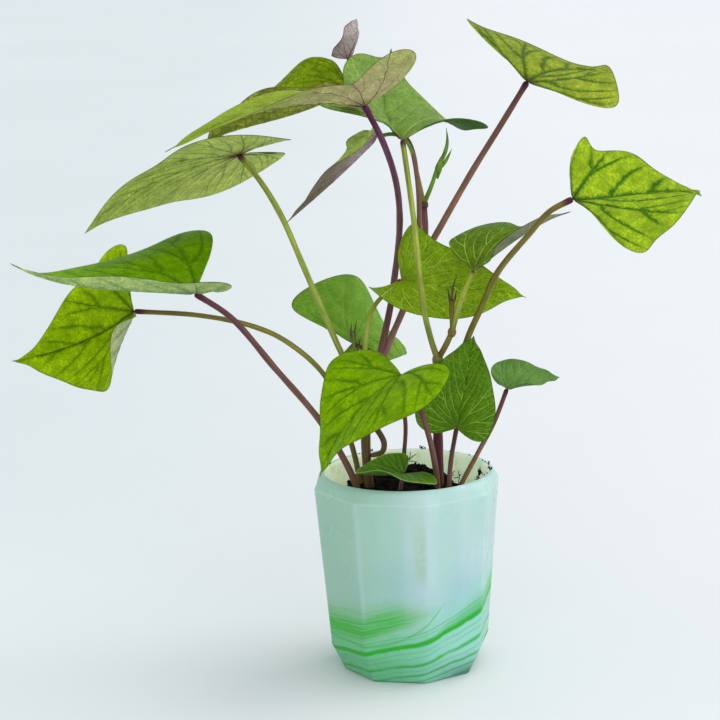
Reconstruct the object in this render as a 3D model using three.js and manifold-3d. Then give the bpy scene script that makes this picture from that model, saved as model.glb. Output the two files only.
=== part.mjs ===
// Potted seon mi sweet potato: two climbing vines and their leaves in an eight-sided glazed pot.
// Millimetres, +Z up, origin at the middle of the pot's base, -Y is the front.
import * as THREE from 'three';
import { mergeVertices } from 'three/addons/utils/BufferGeometryUtils.js';
import Module from 'manifold-3d';

const wasm = await Module();
wasm.setup();

// Driving dimensions
const POT = {
  sides: 8,
  facets: 48,
  turn: 11,
  height: 90.9,
  rimBottom: 85,
  footHeight: 12,
  rimCorner: 42.6,
  footCorner: 36.5,
  baseCorner: 30.7,
  lip: 38.2,
  mouth: 36,
  wellRadius: 29,
  wellFloor: 9,
};
const SOIL = {
  gap: 0.35,
  moat: 77,
  plugRise: 9,
  plugMiddle: [-3, 0],
  plugReach: [25, 31],
  crumb: 0.8,
  rings: [34.2, 32, 29.5, 27, 24, 20, 15, 10, 5],
};
const BLADE = 0.7;
const CLEAR = 0.32;
const HOLE = 0.5;
const STEM_STEP = 12;

// Where the margin and the rings of a blade are drawn: degrees from the tip, share of the way out
const MARGIN = [0, 40, 65, 88, 108, 126, 142, 155, 168];
const RINGS = [0.22, 0.48, 0.75, 1];

// Blades: where the petiole joins, sizes, the way they point and how they bend, mm and degrees
const LEAVES = {
  upper_left: {
    at: [-71, 11, 233.5], length: 78, left: 26, right: 35.5, heading: 188, rise: -11, lean: 39,
    arch: 16, nod: 22, sweep: -9, twist: 19, foldLeft: -20, foldRight: 19, curlLeft: 3, curlRight: -9,
    lobes: 0.4, taper: 1.3, shoulderLeft: 0.4, shoulderRight: 0.3, tint: 0x8fae4e,
  },
  arch_front: {
    at: [-15, -19.5, 257], length: 90.5, left: 39.5, right: 25, heading: 197, rise: 12, lean: 11,
    arch: 45, nod: -8, sweep: -18, twist: -55, foldLeft: 24, foldRight: 3, curlLeft: 23, curlRight: 9,
    lobes: 0.2, taper: 1.9, shoulderLeft: -0.5, shoulderRight: -0.1, tint: 0xa3a66a,
  },
  arch_rear: {
    at: [-22, 46, 257], length: 69.5, left: 26, right: 29.5, heading: 188, rise: -30, lean: -39,
    arch: -53, nod: 54, sweep: -9, twist: 62, foldLeft: 47, foldRight: 10, curlLeft: 23, curlRight: -13,
    lobes: 0.1, taper: 1.05, shoulderLeft: -0.2, shoulderRight: 0.2, tint: 0x4f7a2a,
  },
  young_purple: {
    at: [-22, 52, 270], length: 19.5, left: 5.5, right: 12, heading: 11, rise: 58, lean: -87,
    arch: 6, nod: -55, sweep: -31, twist: 19, foldLeft: 32, foldRight: 12, curlLeft: 64, curlRight: -85,
    lobes: 0.25, taper: 1.2, shoulderLeft: -0.2, shoulderRight: -0.2, tint: 0x8b6f7c,
  },
  folded: {
    at: [-9.5, 15, 239], length: 56, left: 26, right: 16.5, heading: 203, rise: -43, lean: 4,
    arch: -10, nod: 6, sweep: -11, twist: 8, foldLeft: 49, foldRight: 30, curlLeft: -57, curlRight: -27,
    lobes: 0.05, taper: 1.9, shoulderLeft: 0, shoulderRight: -0.3, tint: 0x7d9a4a,
  },
  top: {
    at: [1.5, 11, 238], length: 68.5, left: 45, right: 48.5, heading: 115, rise: 12, lean: 12,
    arch: -37, nod: -27, sweep: -32, twist: 60, foldLeft: 42, foldRight: 40, curlLeft: -92, curlRight: -37,
    lobes: 0, taper: 1.4, shoulderLeft: -0.3, shoulderRight: -0.1, tint: 0x5f9a3c,
  },
  top_right: {
    at: [59, 44, 258.5], length: 54.5, left: 44, right: 44.5, heading: -63, rise: 25, lean: -40,
    arch: 19, nod: -20, sweep: 37, twist: 45, foldLeft: 17, foldRight: 17, curlLeft: -17, curlRight: -20,
    lobes: 0, taper: 1.55, shoulderLeft: -0.05, shoulderRight: -0.05, tint: 0x9dbb3a,
  },
  right: {
    at: [73, -29, 216], length: 67, left: 43.5, right: 29, heading: -39, rise: 4, lean: -42,
    arch: -22, nod: 45, sweep: -6, twist: 35, foldLeft: 18, foldRight: 33, curlLeft: -57, curlRight: 23,
    lobes: 0, taper: 1.4, shoulderLeft: -0.1, shoulderRight: -0.2, tint: 0x9cbf32,
  },
  mid_right: {
    at: [30.5, -19, 184], length: 51.5, left: 26, right: 13, heading: 21, rise: 31, lean: 45,
    arch: -26, nod: 52, sweep: -12, twist: -55, foldLeft: -11, foldRight: 80, curlLeft: -15, curlRight: -42,
    lobes: 0.05, taper: 1.9, shoulderLeft: 0.35, shoulderRight: -0.15, tint: 0x4f8b24,
  },
  centre: {
    at: [-0.5, 8, 176], length: 60, left: 26, right: 27, heading: -21, rise: -10, lean: 39,
    arch: 10, nod: 43, sweep: 38, twist: 69, foldLeft: 21, foldRight: 8, curlLeft: 27, curlRight: 49,
    lobes: 0.2, taper: 1.8, shoulderLeft: -0.1, shoulderRight: -0.1, tint: 0x5f9a1e,
  },
  rear_left: {
    at: [-23, 34.5, 142], length: 53.5, left: 34, right: 14, heading: 23, rise: 11, lean: 54,
    arch: 98, nod: -14, sweep: -6, twist: -47, foldLeft: -1, foldRight: -34, curlLeft: 54, curlRight: -32,
    lobes: 0.4, taper: 1.4, shoulderLeft: 0, shoulderRight: 0, tint: 0x5b9a55,
  },
  front_left: {
    at: [-2, -36, 142.5], length: 59, left: 35.5, right: 32, heading: 215, rise: -20, lean: -16,
    arch: 48, nod: 8, sweep: 1, twist: -3, foldLeft: 38, foldRight: -16, curlLeft: -30, curlRight: 24,
    lobes: 0.2, taper: 1.4, shoulderLeft: 0.2, shoulderRight: 0.1, tint: 0x78ab1c,
  },
  front_right: {
    at: [21.5, -30, 116.5], length: 44, left: 20, right: 16, heading: 68, rise: 55, lean: 5,
    arch: -8, nod: 12, sweep: 0, twist: -4, foldLeft: 19, foldRight: 9, curlLeft: 18, curlRight: -35,
    lobes: 0.2, taper: 1.2, shoulderLeft: 0, shoulderRight: 0, tint: 0x3f7a16,
  },
  small_right: {
    at: [46, 8, 125], length: 25.5, left: 16, right: 13.5, heading: 19, rise: 10, lean: 11,
    arch: 8, nod: -6, sweep: -6, twist: 13, foldLeft: 9, foldRight: 22, curlLeft: 31, curlRight: 12,
    lobes: 0.2, taper: 1.2, shoulderLeft: 0, shoulderRight: 0, tint: 0x56924a,
  },
  mouth: {
    at: [-1.5, -21.5, 94.5], length: 27.5, left: 16.5, right: 12, heading: 222, rise: 5, lean: -14,
    arch: -12, nod: 6, sweep: -12, twist: 18, foldLeft: 32, foldRight: 13, curlLeft: -52, curlRight: 31,
    lobes: 0.4, taper: 1, shoulderLeft: 0, shoulderRight: 0, tint: 0x3c7420,
  },
  left_upper: {
    at: [-90, -28.5, 179], length: 81.5, left: 21.5, right: 57, heading: 192, rise: 6, lean: 6,
    arch: 2, nod: -32, sweep: -6, twist: 30, foldLeft: 16, foldRight: 45, curlLeft: 8, curlRight: -41,
    lobes: 0.25, taper: 1.9, shoulderLeft: -0.25, shoulderRight: -0.1, tint: 0x6aa030,
  },
  left_lower: {
    at: [-119.5, 4, 165.5], length: 62.5, left: 39, right: 34.5, heading: 154, rise: -39, lean: -56,
    arch: -57, nod: 17, sweep: -5, twist: -62, foldLeft: 27, foldRight: 47, curlLeft: 11, curlRight: -56,
    lobes: 0.3, taper: 1.6, shoulderLeft: 0.2, shoulderRight: -0.2, tint: 0x86b428,
  },
};

// Vine on the left: its stem and everything that grows from it, thickness as radius
const VINE_LEFT = [
  { radius: 2.2, sides: 9, route: [[-17, -9, 70], [-17, -10, 85], [-18, -9, 100], [-18, -8, 111], [-17, -6, 122]] },
  { radius: 1.3, route: [[-17, -9, 116], [-13, -10, 112], [-10, -11, 106], [-11, -11, 102], [-16, -9, 100]] },
  {
    radius: 1.35, leaf: 'upper_left',
    route: [
      [-17, -6, 121], [-21.5, -7, 133], [-28, -7, 147], [-36.5, -6, 168], [-44.5, -4, 188], [-52.5, -2, 207.5],
      [-61.5, 5.5, 222],
    ],
  },
  {
    radius: 1.1, leaf: 'centre',
    route: [[-17, -6, 121], [-18, -5, 137], [-17, -2, 150], [-15.5, 1, 159], [-12, 4, 166]],
  },
  {
    radius: 1.5, leaf: 'arch_front',
    route: [
      [-16, -6, 121], [-13, -2, 135], [-9.5, 4, 148], [-5.5, 13, 163], [-3, 20, 176.5], [-1, 21.5, 190],
      [-0.5, 12, 207], [-3, -5, 226], [-8, -14, 242],
    ],
  },
  {
    radius: 1.5,
    route: [[-16, -6, 121], [-11, 0, 137], [-6, 6, 149], [1, 14, 163], [7, 24, 178], [11, 30, 191], [11, 32, 206]],
  },
  {
    radius: 1.45, leaf: 'top_right',
    route: [[1, 14, 163], [8, 25, 179], [18, 32, 195], [33, 38, 219], [47, 42, 240]],
  },
  {
    radius: 1.15, leaf: 'arch_rear',
    route: [[7, 24, 178], [8.5, 24, 197], [8, 24, 218.5], [5, 28, 234], [-3, 39, 241], [-12, 46, 250.5]],
  },
  { radius: 0.8, leaf: 'young_purple', route: [[-12, 46, 250.5], [-15.5, 50.5, 259.5], [-18.5, 52.5, 266]] },
  { radius: 0.9, leaf: 'folded', route: [[11, 32, 206], [8, 29, 221], [5, 24, 233], [1, 19, 238.5], [-4, 16, 240]] },
  { radius: 1, route: [[11, 32, 206], [14.5, 32, 214], [17, 32, 221], [19, 32, 226]] },
  { radius: 0.5, sides: 6, route: [[18, 32, 223], [21, 32, 229], [22, 32, 234], [21.7, 32, 240]] },
  { radius: 0.45, sides: 6, route: [[18, 32, 221], [21, 32, 225], [24, 32, 230.5]] },
  { radius: 0.7, sides: 6, route: [[-18, -6, 122], [-21, -4, 137], [-22, -4, 147], [-22.5, -4, 156]] },
  { radius: 0.5, sides: 6, route: [[-22, -4, 145], [-22, -4, 153], [-20.8, -4, 160.5]] },
];
const KNOTS_LEFT = [
  { at: [-17, -6.5, 120.5], size: [2.6, 2.5, 3] },
  { at: [1, 14, 163], size: [1.8, 1.8, 2.2] },
  { at: [7, 24, 178], size: [1.8, 1.8, 2.2] },
  { at: [11, 32, 205.5], size: [2, 1.9, 2.1] },
  { at: [19, 32, 225.5], size: [1.9, 1.5, 4] },
  { at: [-12, 46, 250.5], size: [1.5, 1.5, 1.5] },
];

// Vine on the right
const VINE_RIGHT = [
  {
    radius: 2.25, sides: 9,
    route: [[15, -10, 70], [14, -10, 85], [14, -9, 102], [14, -9, 118], [14, -9, 131], [14.5, -10, 144]],
  },
  {
    radius: 1.3, leaf: 'top',
    route: [[14.5, -10, 143], [12, -13, 151.5], [9, -18, 165.5], [7, -18, 184], [5.5, -9, 203.5], [3.5, 2, 221.5]],
  },
  { radius: 1.3, route: [[14.5, -10, 143], [18, -12, 149.5], [21, -14, 157], [21, -15, 164], [21, -16, 171]] },
  { radius: 1.1, leaf: 'mid_right', route: [[21, -14, 156], [22.5, -18, 163], [25.5, -20, 173]] },
  { radius: 0.5, sides: 6, route: [[21, -15.5, 167], [21.5, -16, 176], [23.5, -16, 182]] },
  {
    radius: 1.4, leaf: 'right',
    route: [
      [14, -9, 113], [19, -5, 127.5], [24.5, -2, 140], [29, -2, 152.5], [33.5, -8, 164], [41, -17, 182.5],
      [54, -25, 200], [63, -28, 210.5],
    ],
  },
];
const KNOTS_RIGHT = [
  { at: [14.5, -10, 143], size: [2.5, 2.4, 2.9] },
  { at: [20.8, -14, 156], size: [1.9, 1.8, 2.3] },
  { at: [14.4, -9, 113.5], size: [2.5, 2.5, 3] },
];

// Leaves that rise from the soil on a petiole of their own
const PETIOLES = {
  front_left: {
    radius: 1.3,
    route: [[13, -16, 71.5], [13, -18, 88.5], [11, -28.5, 105.5], [8, -39, 120], [4.5, -40, 131], [0.5, -38, 138]],
  },
  front_right: { radius: 1.1, route: [[17, -20, 72], [18, -21, 87], [19, -24, 100]] },
  small_right: { radius: 1.1, route: [[18.5, -2.5, 69], [24, 0, 82.5], [32, 3, 96.5], [40, 6, 110.5]] },
  mouth: { radius: 0.95, route: [[-5, -17, 75], [-3.5, -18, 85.5], [-2.5, -20, 91]] },
  left_upper: {
    radius: 1.45,
    route: [[-18, -20, 73], [-22, -20, 87], [-27, -21, 100], [-38, -23, 120], [-57, -26, 145], [-75, -28, 168]],
  },
  left_lower: {
    radius: 1.2,
    route: [[-20, -6, 72], [-21, -6, 87], [-25, -6, 107], [-35, -4, 135], [-52, -1, 151], [-67, 1, 158], [-90, 3, 163]],
  },
  rear_left: {
    radius: 1.0,
    route: [[-3, 6, 68], [-3, 6, 82], [-1, 8, 95], [0, 12, 111], [-4, 20, 127], [-11, 28, 137]],
  },
};

const rad = THREE.MathUtils.degToRad;

function solid(geometry) {
  geometry.deleteAttribute('normal');
  geometry.deleteAttribute('uv');
  const merged = mergeVertices(geometry, 1e-4);
  const corners = [];
  for (let i = 0; i < merged.index.count; i += 3) {
    const [a, b, c] = [0, 1, 2].map((k) => merged.index.getX(i + k));
    if (a !== b && b !== c && c !== a) corners.push(a, b, c);
  }
  return new wasm.Manifold(new wasm.Mesh({
    numProp: 3,
    vertProperties: new Float32Array(merged.attributes.position.array),
    triVerts: new Uint32Array(corners),
  }));
}

function drawn(body) {
  const { vertProperties, triVerts } = body.getMesh();
  const geometry = new THREE.BufferGeometry();
  geometry.setAttribute('position', new THREE.BufferAttribute(vertProperties, 3));
  geometry.setIndex(new THREE.BufferAttribute(triVerts, 1));
  return geometry;
}

function fused(bodies) {
  return bodies.reduce((whole, body) => whole.add(body));
}

// Frame of a blade: forward along the midrib, to its left, and out of its upper side
function bladeFrame(leaf) {
  const [az, el, lean] = [leaf.heading, leaf.rise, leaf.lean].map(rad);
  const forward = new THREE.Vector3(Math.cos(el) * Math.cos(az), Math.cos(el) * Math.sin(az), Math.sin(el));
  const level = new THREE.Vector3(-Math.sin(az), Math.cos(az), 0);
  const lift = new THREE.Vector3().crossVectors(forward, level);
  const left = level.clone().multiplyScalar(Math.cos(lean)).addScaledVector(lift, Math.sin(lean));
  const upper = lift.clone().multiplyScalar(Math.cos(lean)).addScaledVector(level, -Math.sin(lean));
  return { forward, left, upper };
}

// Heart-shaped margin: u runs from 0 at the tip to nearly 1 at the sinus
function marginPoint(leaf, side, angle) {
  const u = Math.sin(angle / 2) ** 2;
  const widest = leaf.taper / (leaf.taper + 0.5);
  const toWidth = 1 / (widest ** leaf.taper * Math.sqrt(1 - widest));
  const toLobe = 1 / ((6 / 7) ** 3 * Math.sqrt(1 / 7));
  const width = side > 0 ? leaf.left : leaf.right;
  const shoulder = side > 0 ? leaf.shoulderLeft : leaf.shoulderRight;
  const swell = 1 + shoulder * Math.exp(-(((angle - 1.85) / 0.28) ** 2));
  const along = leaf.length * (1 - u - leaf.lobes * toLobe * u ** 3 * Math.sqrt(1 - u));
  const across = width * toWidth * u ** leaf.taper * Math.sqrt(1 - u);
  return [along * swell, across * swell];
}

// A flat point of the blade carried to where the bent blade holds it
function bentPoint(leaf, frame, side, along, across) {
  const reach = THREE.MathUtils.clamp(along / leaf.length, -1, 1);
  const dip = (s) => -rad(leaf.arch * s + leaf.nod * Math.max(0, s) ** 3);
  const turn = (s) => rad(leaf.sweep * s);
  const spine = new THREE.Vector3();
  const steps = 24;
  for (let i = 0; i < steps; i += 1) {
    const [from, to] = [i / steps, (i + 1) / steps].map((share) => (share * along) / leaf.length);
    const pitch = (dip(from) + dip(to)) / 2;
    const yaw = (turn(from) + turn(to)) / 2;
    spine.x += Math.cos(pitch) * Math.cos(yaw) * (along / steps);
    spine.y += Math.cos(pitch) * Math.sin(yaw) * (along / steps);
    spine.z += Math.sin(pitch) * (along / steps);
  }
  const end = along / leaf.length;
  const tangent = new THREE.Vector3(
    Math.cos(dip(end)) * Math.cos(turn(end)), Math.cos(dip(end)) * Math.sin(turn(end)), Math.sin(dip(end)),
  );
  const sideways = new THREE.Vector3(-Math.sin(turn(end)), Math.cos(turn(end)), 0);
  const above = new THREE.Vector3().crossVectors(tangent, sideways);
  const spin = rad(leaf.twist * reach);
  const out = sideways.clone().multiplyScalar(Math.cos(spin)).addScaledVector(above, Math.sin(spin));
  const up = above.clone().multiplyScalar(Math.cos(spin)).addScaledVector(sideways, -Math.sin(spin));
  const width = side > 0 ? leaf.left : leaf.right;
  const fold = rad(side > 0 ? leaf.foldLeft : leaf.foldRight);
  const curl = rad((side > 0 ? leaf.curlLeft : leaf.curlRight) || 0.01) / width;
  const offset = (Math.sin(fold + curl * across) - Math.sin(fold)) / curl;
  const height = -(Math.cos(fold + curl * across) - Math.cos(fold)) / curl;
  spine.addScaledVector(out, side * offset).addScaledVector(up, height);
  return new THREE.Vector3(...leaf.at)
    .addScaledVector(frame.forward, spine.x)
    .addScaledVector(frame.left, spine.y)
    .addScaledVector(frame.upper, spine.z);
}

// A blade as one closed body: a fan of columns from the petiole's end, with even thickness
function bladeGeometry(leaf) {
  const frame = bladeFrame(leaf);
  const half = MARGIN.length - 1;
  const columns = 2 * half;
  const middle = [new THREE.Vector3(...leaf.at)];
  for (let c = 0; c <= columns; c += 1) {
    const side = c <= half ? 1 : -1;
    const [along, across] = marginPoint(leaf, side, rad(MARGIN[Math.abs(half - c)]));
    RINGS.forEach((ring) => middle.push(bentPoint(leaf, frame, side, along * ring, across * ring)));
  }
  const at = (c, r) => 1 + c * RINGS.length + r;
  const upper = [];
  for (let c = 0; c < columns; c += 1) {
    upper.push([0, at(c + 1, 0), at(c, 0)]);
    for (let r = 0; r < RINGS.length - 1; r += 1) {
      const [a, b, d, e] = [at(c, r), at(c + 1, r), at(c + 1, r + 1), at(c, r + 1)];
      if (c < half) upper.push([a, b, e], [b, d, e]);
      else upper.push([a, d, e], [a, b, d]);
    }
  }
  const normals = middle.map(() => new THREE.Vector3());
  upper.forEach((face) => {
    const [a, b, c] = face.map((k) => middle[k]);
    const push = new THREE.Vector3().subVectors(b, a).cross(new THREE.Vector3().subVectors(c, a));
    face.forEach((k) => normals[k].add(push));
  });
  normals.forEach((normal) => normal.normalize());
  const count = middle.length;
  const points = [1, -1].flatMap((way) => (
    middle.flatMap((p, k) => p.clone().addScaledVector(normals[k], (way * BLADE) / 2).toArray())
  ));
  const edge = [0];
  for (let r = 0; r < RINGS.length; r += 1) edge.push(at(0, r));
  for (let c = 1; c < columns; c += 1) edge.push(at(c, RINGS.length - 1));
  for (let r = RINGS.length - 1; r >= 0; r -= 1) edge.push(at(columns, r));
  const faces = upper.flatMap(([a, b, c]) => [a, b, c, a + count, c + count, b + count]);
  edge.forEach((a, k) => {
    const b = edge[(k + 1) % edge.length];
    faces.push(a, b, b + count, a, b + count, a + count);
  });
  const geometry = new THREE.BufferGeometry();
  geometry.setAttribute('position', new THREE.Float32BufferAttribute(points, 3));
  geometry.setIndex(faces);
  return geometry;
}

// The end of a petiole, just clear of the side of the blade that it comes to
function petioleEnd(leaf, from, radius) {
  const { upper } = bladeFrame(leaf);
  const junction = new THREE.Vector3(...leaf.at);
  const heading = junction.clone().sub(new THREE.Vector3(...from)).normalize();
  const facing = heading.dot(upper);
  const slack = BLADE / 2 + CLEAR + radius * Math.sqrt(1 - facing ** 2);
  return junction.addScaledVector(upper, -Math.sign(facing) * slack).toArray();
}

function stemRoute(stem) {
  if (!stem.leaf) return stem.route;
  return [...stem.route, petioleEnd(LEAVES[stem.leaf], stem.route.at(-1), stem.radius)];
}

function tube(route, radius, sides = 7) {
  const path = new THREE.CatmullRomCurve3(route.map((p) => new THREE.Vector3(...p)));
  const outline = new THREE.Shape();
  for (let i = 0; i < sides; i += 1) {
    const turn = (2 * Math.PI * i) / sides;
    const corner = [radius * Math.cos(turn), radius * Math.sin(turn)];
    if (i === 0) outline.moveTo(...corner);
    else outline.lineTo(...corner);
  }
  const steps = Math.max(4, Math.round(path.getLength() / STEM_STEP));
  return solid(new THREE.ExtrudeGeometry(outline, { steps, extrudePath: path }));
}

function knot({ at, size }) {
  const ball = new THREE.SphereGeometry(1, 9, 6);
  ball.scale(...size);
  ball.translate(...at);
  return solid(ball);
}

function stemHole({ route, radius, sides }) {
  const wide = tube(route, radius + HOLE, sides);
  return wide.add(wide.translate([0, 0, -0.5]));
}

function vine(stems, knots) {
  return fused([
    ...stems.map((stem) => tube(stemRoute(stem), stem.radius, stem.sides)),
    ...knots.map(knot),
  ]);
}

// How far the straight side of the eight-sided pot lies inside its corner's circle
function facetShare(angle) {
  const step = (2 * Math.PI) / POT.sides;
  const inFacet = THREE.MathUtils.euclideanModulo(angle - rad(POT.turn), step) - step / 2;
  return Math.cos(step / 2) / Math.cos(inFacet);
}

function potBody() {
  const profile = [
    { r: 0, z: 0, flat: 0 },
    { r: POT.baseCorner, z: 0, flat: 1 },
    { r: POT.footCorner, z: POT.footHeight, flat: 1 },
    { r: POT.rimCorner, z: POT.rimBottom, flat: 0.85 },
    { r: 39.6, z: 89.4, flat: 0.1 },
    { r: POT.lip, z: POT.height - 0.2, flat: 0 },
    { r: 37.2, z: POT.height, flat: 0 },
    { r: POT.mouth, z: 90.1, flat: 0 },
    { r: POT.mouth - 0.3, z: 86, flat: 0 },
    { r: POT.wellRadius, z: POT.wellFloor, flat: 0 },
    { r: 0, z: POT.wellFloor - 1, flat: 0 },
  ];
  const outline = profile.map(({ r, z }) => new THREE.Vector2(r, z));
  const lathe = new THREE.LatheGeometry(outline, POT.facets, rad(POT.turn));
  const points = lathe.attributes.position;
  for (let k = 0; k < points.count; k += 1) {
    const { flat } = profile[k % profile.length];
    const angle = Math.atan2(points.getX(k), points.getZ(k));
    const share = 1 - flat + flat * facetShare(angle);
    points.setX(k, points.getX(k) * share);
    points.setZ(k, points.getZ(k) * share);
  }
  lathe.rotateX(Math.PI / 2);
  return solid(lathe);
}

function soilHeight(x, y, k) {
  const away = Math.hypot((x - SOIL.plugMiddle[0]) / SOIL.plugReach[0], (y - SOIL.plugMiddle[1]) / SOIL.plugReach[1]);
  const lump = SOIL.crumb * Math.sin(k * 12.9898 + 3) * Math.cos(k * 4.1414);
  return SOIL.moat + SOIL.plugRise * (1 - THREE.MathUtils.smoothstep(away, 0.86, 1.12)) + lump;
}

function soilBody(holes) {
  const wall = (z) => POT.wellRadius + ((POT.mouth - 0.3 - POT.wellRadius) * (z - POT.wellFloor)) / (86 - POT.wellFloor);
  const profile = [
    [0, POT.wellFloor + SOIL.gap],
    [wall(POT.wellFloor) - 0.6, POT.wellFloor + SOIL.gap],
    ...[30, 55, SOIL.moat - 1].map((z) => [wall(z) - SOIL.gap - 0.15, z]),
    ...SOIL.rings.map((r) => [r, SOIL.moat]),
    [0, SOIL.moat],
  ];
  const lathe = new THREE.LatheGeometry(profile.map(([r, z]) => new THREE.Vector2(r, z)), 40);
  lathe.rotateX(Math.PI / 2);
  const points = lathe.attributes.position;
  const rows = profile.length;
  const top = rows - SOIL.rings.length - 1;
  for (let k = 0; k < points.count; k += 1) {
    const row = k % rows;
    const spoke = Math.floor(k / rows) % 40;
    const seed = row === rows - 1 ? 0 : spoke + row * 41;
    if (row >= top) points.setZ(k, soilHeight(points.getX(k), points.getY(k), seed));
  }
  return holes.reduce((soil, hole) => soil.subtract(hole), solid(lathe));
}

function named(name, geometry, color, roughness) {
  const mesh = new THREE.Mesh(geometry, new THREE.MeshStandardMaterial({ color, roughness, metalness: 0 }));
  mesh.name = name;
  return mesh;
}

const group = new THREE.Group();
group.name = 'potted_sweet_potato';

const petioles = Object.entries(PETIOLES).map(([leaf, stem]) => ({ ...stem, leaf, route: stemRoute({ ...stem, leaf }) }));
const rooted = [VINE_LEFT[0], VINE_RIGHT[0], ...petioles];
group.add(named('pot', drawn(potBody()), 0xc3dfd6, 0.25));
group.add(named('soil', drawn(soilBody(rooted.map(stemHole))), 0x4a3a2a, 0.95));
group.add(named('vine_left', drawn(vine(VINE_LEFT, KNOTS_LEFT)), 0x7a6a34, 0.6));
group.add(named('vine_right', drawn(vine(VINE_RIGHT, KNOTS_RIGHT)), 0x7f8a38, 0.6));
petioles.forEach(({ leaf, radius, route }) => {
  group.add(named(`petiole_${leaf}`, drawn(tube(route, radius)), 0x7d6a3c, 0.6));
});
Object.entries(LEAVES).forEach(([name, leaf]) => {
  group.add(named(`leaf_${name}`, bladeGeometry(leaf), leaf.tint, 0.5));
});

export default group;
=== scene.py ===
"""Dressed scene of a potted seon mi sweet potato: two climbing vines in an eight-sided glass pot.

Shapes are worked out in millimetres in the part's own frame and put into the mesh in metres.
"""

import logging
from dataclasses import dataclass, field
from enum import Enum
from functools import reduce

import bpy
import numpy as np
from mathutils import Matrix, Vector


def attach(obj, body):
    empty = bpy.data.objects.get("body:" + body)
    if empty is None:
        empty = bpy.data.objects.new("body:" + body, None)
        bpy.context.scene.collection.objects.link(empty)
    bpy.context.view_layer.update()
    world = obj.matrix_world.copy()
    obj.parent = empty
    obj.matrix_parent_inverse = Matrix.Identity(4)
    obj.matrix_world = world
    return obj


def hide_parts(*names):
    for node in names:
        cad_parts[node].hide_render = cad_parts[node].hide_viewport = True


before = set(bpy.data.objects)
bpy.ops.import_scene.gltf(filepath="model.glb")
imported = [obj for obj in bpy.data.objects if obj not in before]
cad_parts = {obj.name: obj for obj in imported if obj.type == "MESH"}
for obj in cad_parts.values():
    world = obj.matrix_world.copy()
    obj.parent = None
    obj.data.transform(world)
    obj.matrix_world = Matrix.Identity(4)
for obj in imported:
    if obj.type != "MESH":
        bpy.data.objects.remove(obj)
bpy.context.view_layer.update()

MM = 0.001
Colour = tuple[float, float, float]
Point = tuple[float, float, float]
Socket = bpy.types.NodeSocket
Value = float | tuple | Socket
log = logging.getLogger("sweet_potato")

# A side vein leans by this much of the way out from its main vein, and bows by this much of its
# square. Those of the left half are shifted by this share of a spacing, and a step across the
# side veins counts for this share of one along the midrib.
SIDE_LEAN = 0.45
SIDE_BOW = 0.014
LEFT_SHIFT = 0.45
SIDE_WEIGHT = 0.85


# Small sums


def linear(colour: Colour) -> tuple[float, float, float, float]:
    """Turns a 0-255 screen colour into the linear colour, with alpha, that a node holds.

    Args:
        colour: red, green and blue as seen on a screen, 0 to 255.

    Returns:
        The same colour in linear light, with alpha 1.
    """
    share = np.asarray(colour, float) / 255
    light = np.where(share <= 0.04045, share / 12.92, ((share + 0.055) / 1.055) ** 2.4)
    return (*(float(v) for v in light), 1.0)


def unit(vectors: np.ndarray) -> np.ndarray:
    """Scales each row vector to length one."""
    return vectors / np.maximum(np.linalg.norm(vectors, axis=-1, keepdims=True), 1e-9)


def smooth(value: np.ndarray, low: float, high: float) -> np.ndarray:
    """Rises from 0 at low to 1 at high along 3s^2 - 2s^3."""
    share = np.clip((value - low) / (high - low), 0, 1)
    return share * share * (3 - 2 * share)


def distances(path: np.ndarray) -> np.ndarray:
    """Distance along a path at each of its points."""
    return np.concatenate([[0], np.cumsum(np.linalg.norm(np.diff(path, axis=0), axis=1))])


def ripple(seed: float, *axes: np.ndarray) -> np.ndarray:
    """A smooth uneven field between about -1 and 1.

    It is the sum of four sine waves over 2.6; their directions and phases come from the seed.

    Args:
        seed: any number; another one gives another field.
        *axes: coordinates, all of one shape, already scaled to the wanted coarseness.

    Returns:
        The height of the field at each point.
    """
    total = 0
    for wave in range(1, 5):
        phase = sum(a * np.sin(seed * wave * 1.7 + k * 2.3 + wave) for k, a in enumerate(axes))
        total = total + np.sin(phase * (1 + 0.45 * wave) + seed * 3.1 * wave)
    return total / 2.6


def curve_through(points: list[Point] | np.ndarray, step: float) -> tuple[np.ndarray, np.ndarray]:
    """A smooth curve through points, as a centripetal Catmull-Rom spline.

    Each span is blended from the four points round it, with the spacing of its knots equal to
    the square root of the distance between the points.

    Args:
        points: the points that the curve passes, in order.
        step: the wanted distance between samples.

    Returns:
        The samples, and the distance along the curve at each.
    """
    p = np.asarray(points, float)
    p = np.vstack([2 * p[0] - p[1], p, 2 * p[-1] - p[-2]])
    knots = np.concatenate([[0], np.cumsum(np.linalg.norm(np.diff(p, axis=0), axis=1) ** 0.5)])
    t = np.linspace(knots[1], knots[-2], max(4, int(distances(p[1:-1])[-1] / step)) + 1)
    span = np.clip(np.searchsorted(knots, t, side="right") - 1, 1, len(p) - 3)
    q = [p[span + k - 1] for k in range(4)]
    k = [knots[span + i - 1][:, None] for i in range(4)]
    t = t[:, None]

    def between(a: np.ndarray, b: np.ndarray, low: np.ndarray, high: np.ndarray) -> np.ndarray:
        """Point that lies between a and b as t does between low and high."""
        return (high - t) / (high - low) * a + (t - low) / (high - low) * b

    a = [between(q[i], q[i + 1], k[i], k[i + 1]) for i in range(3)]
    b = [between(a[i], a[i + 1], k[i], k[i + 2]) for i in range(2)]
    samples = between(b[0], b[1], k[1], k[2])
    return samples, distances(samples)


# Closed forms


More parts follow.
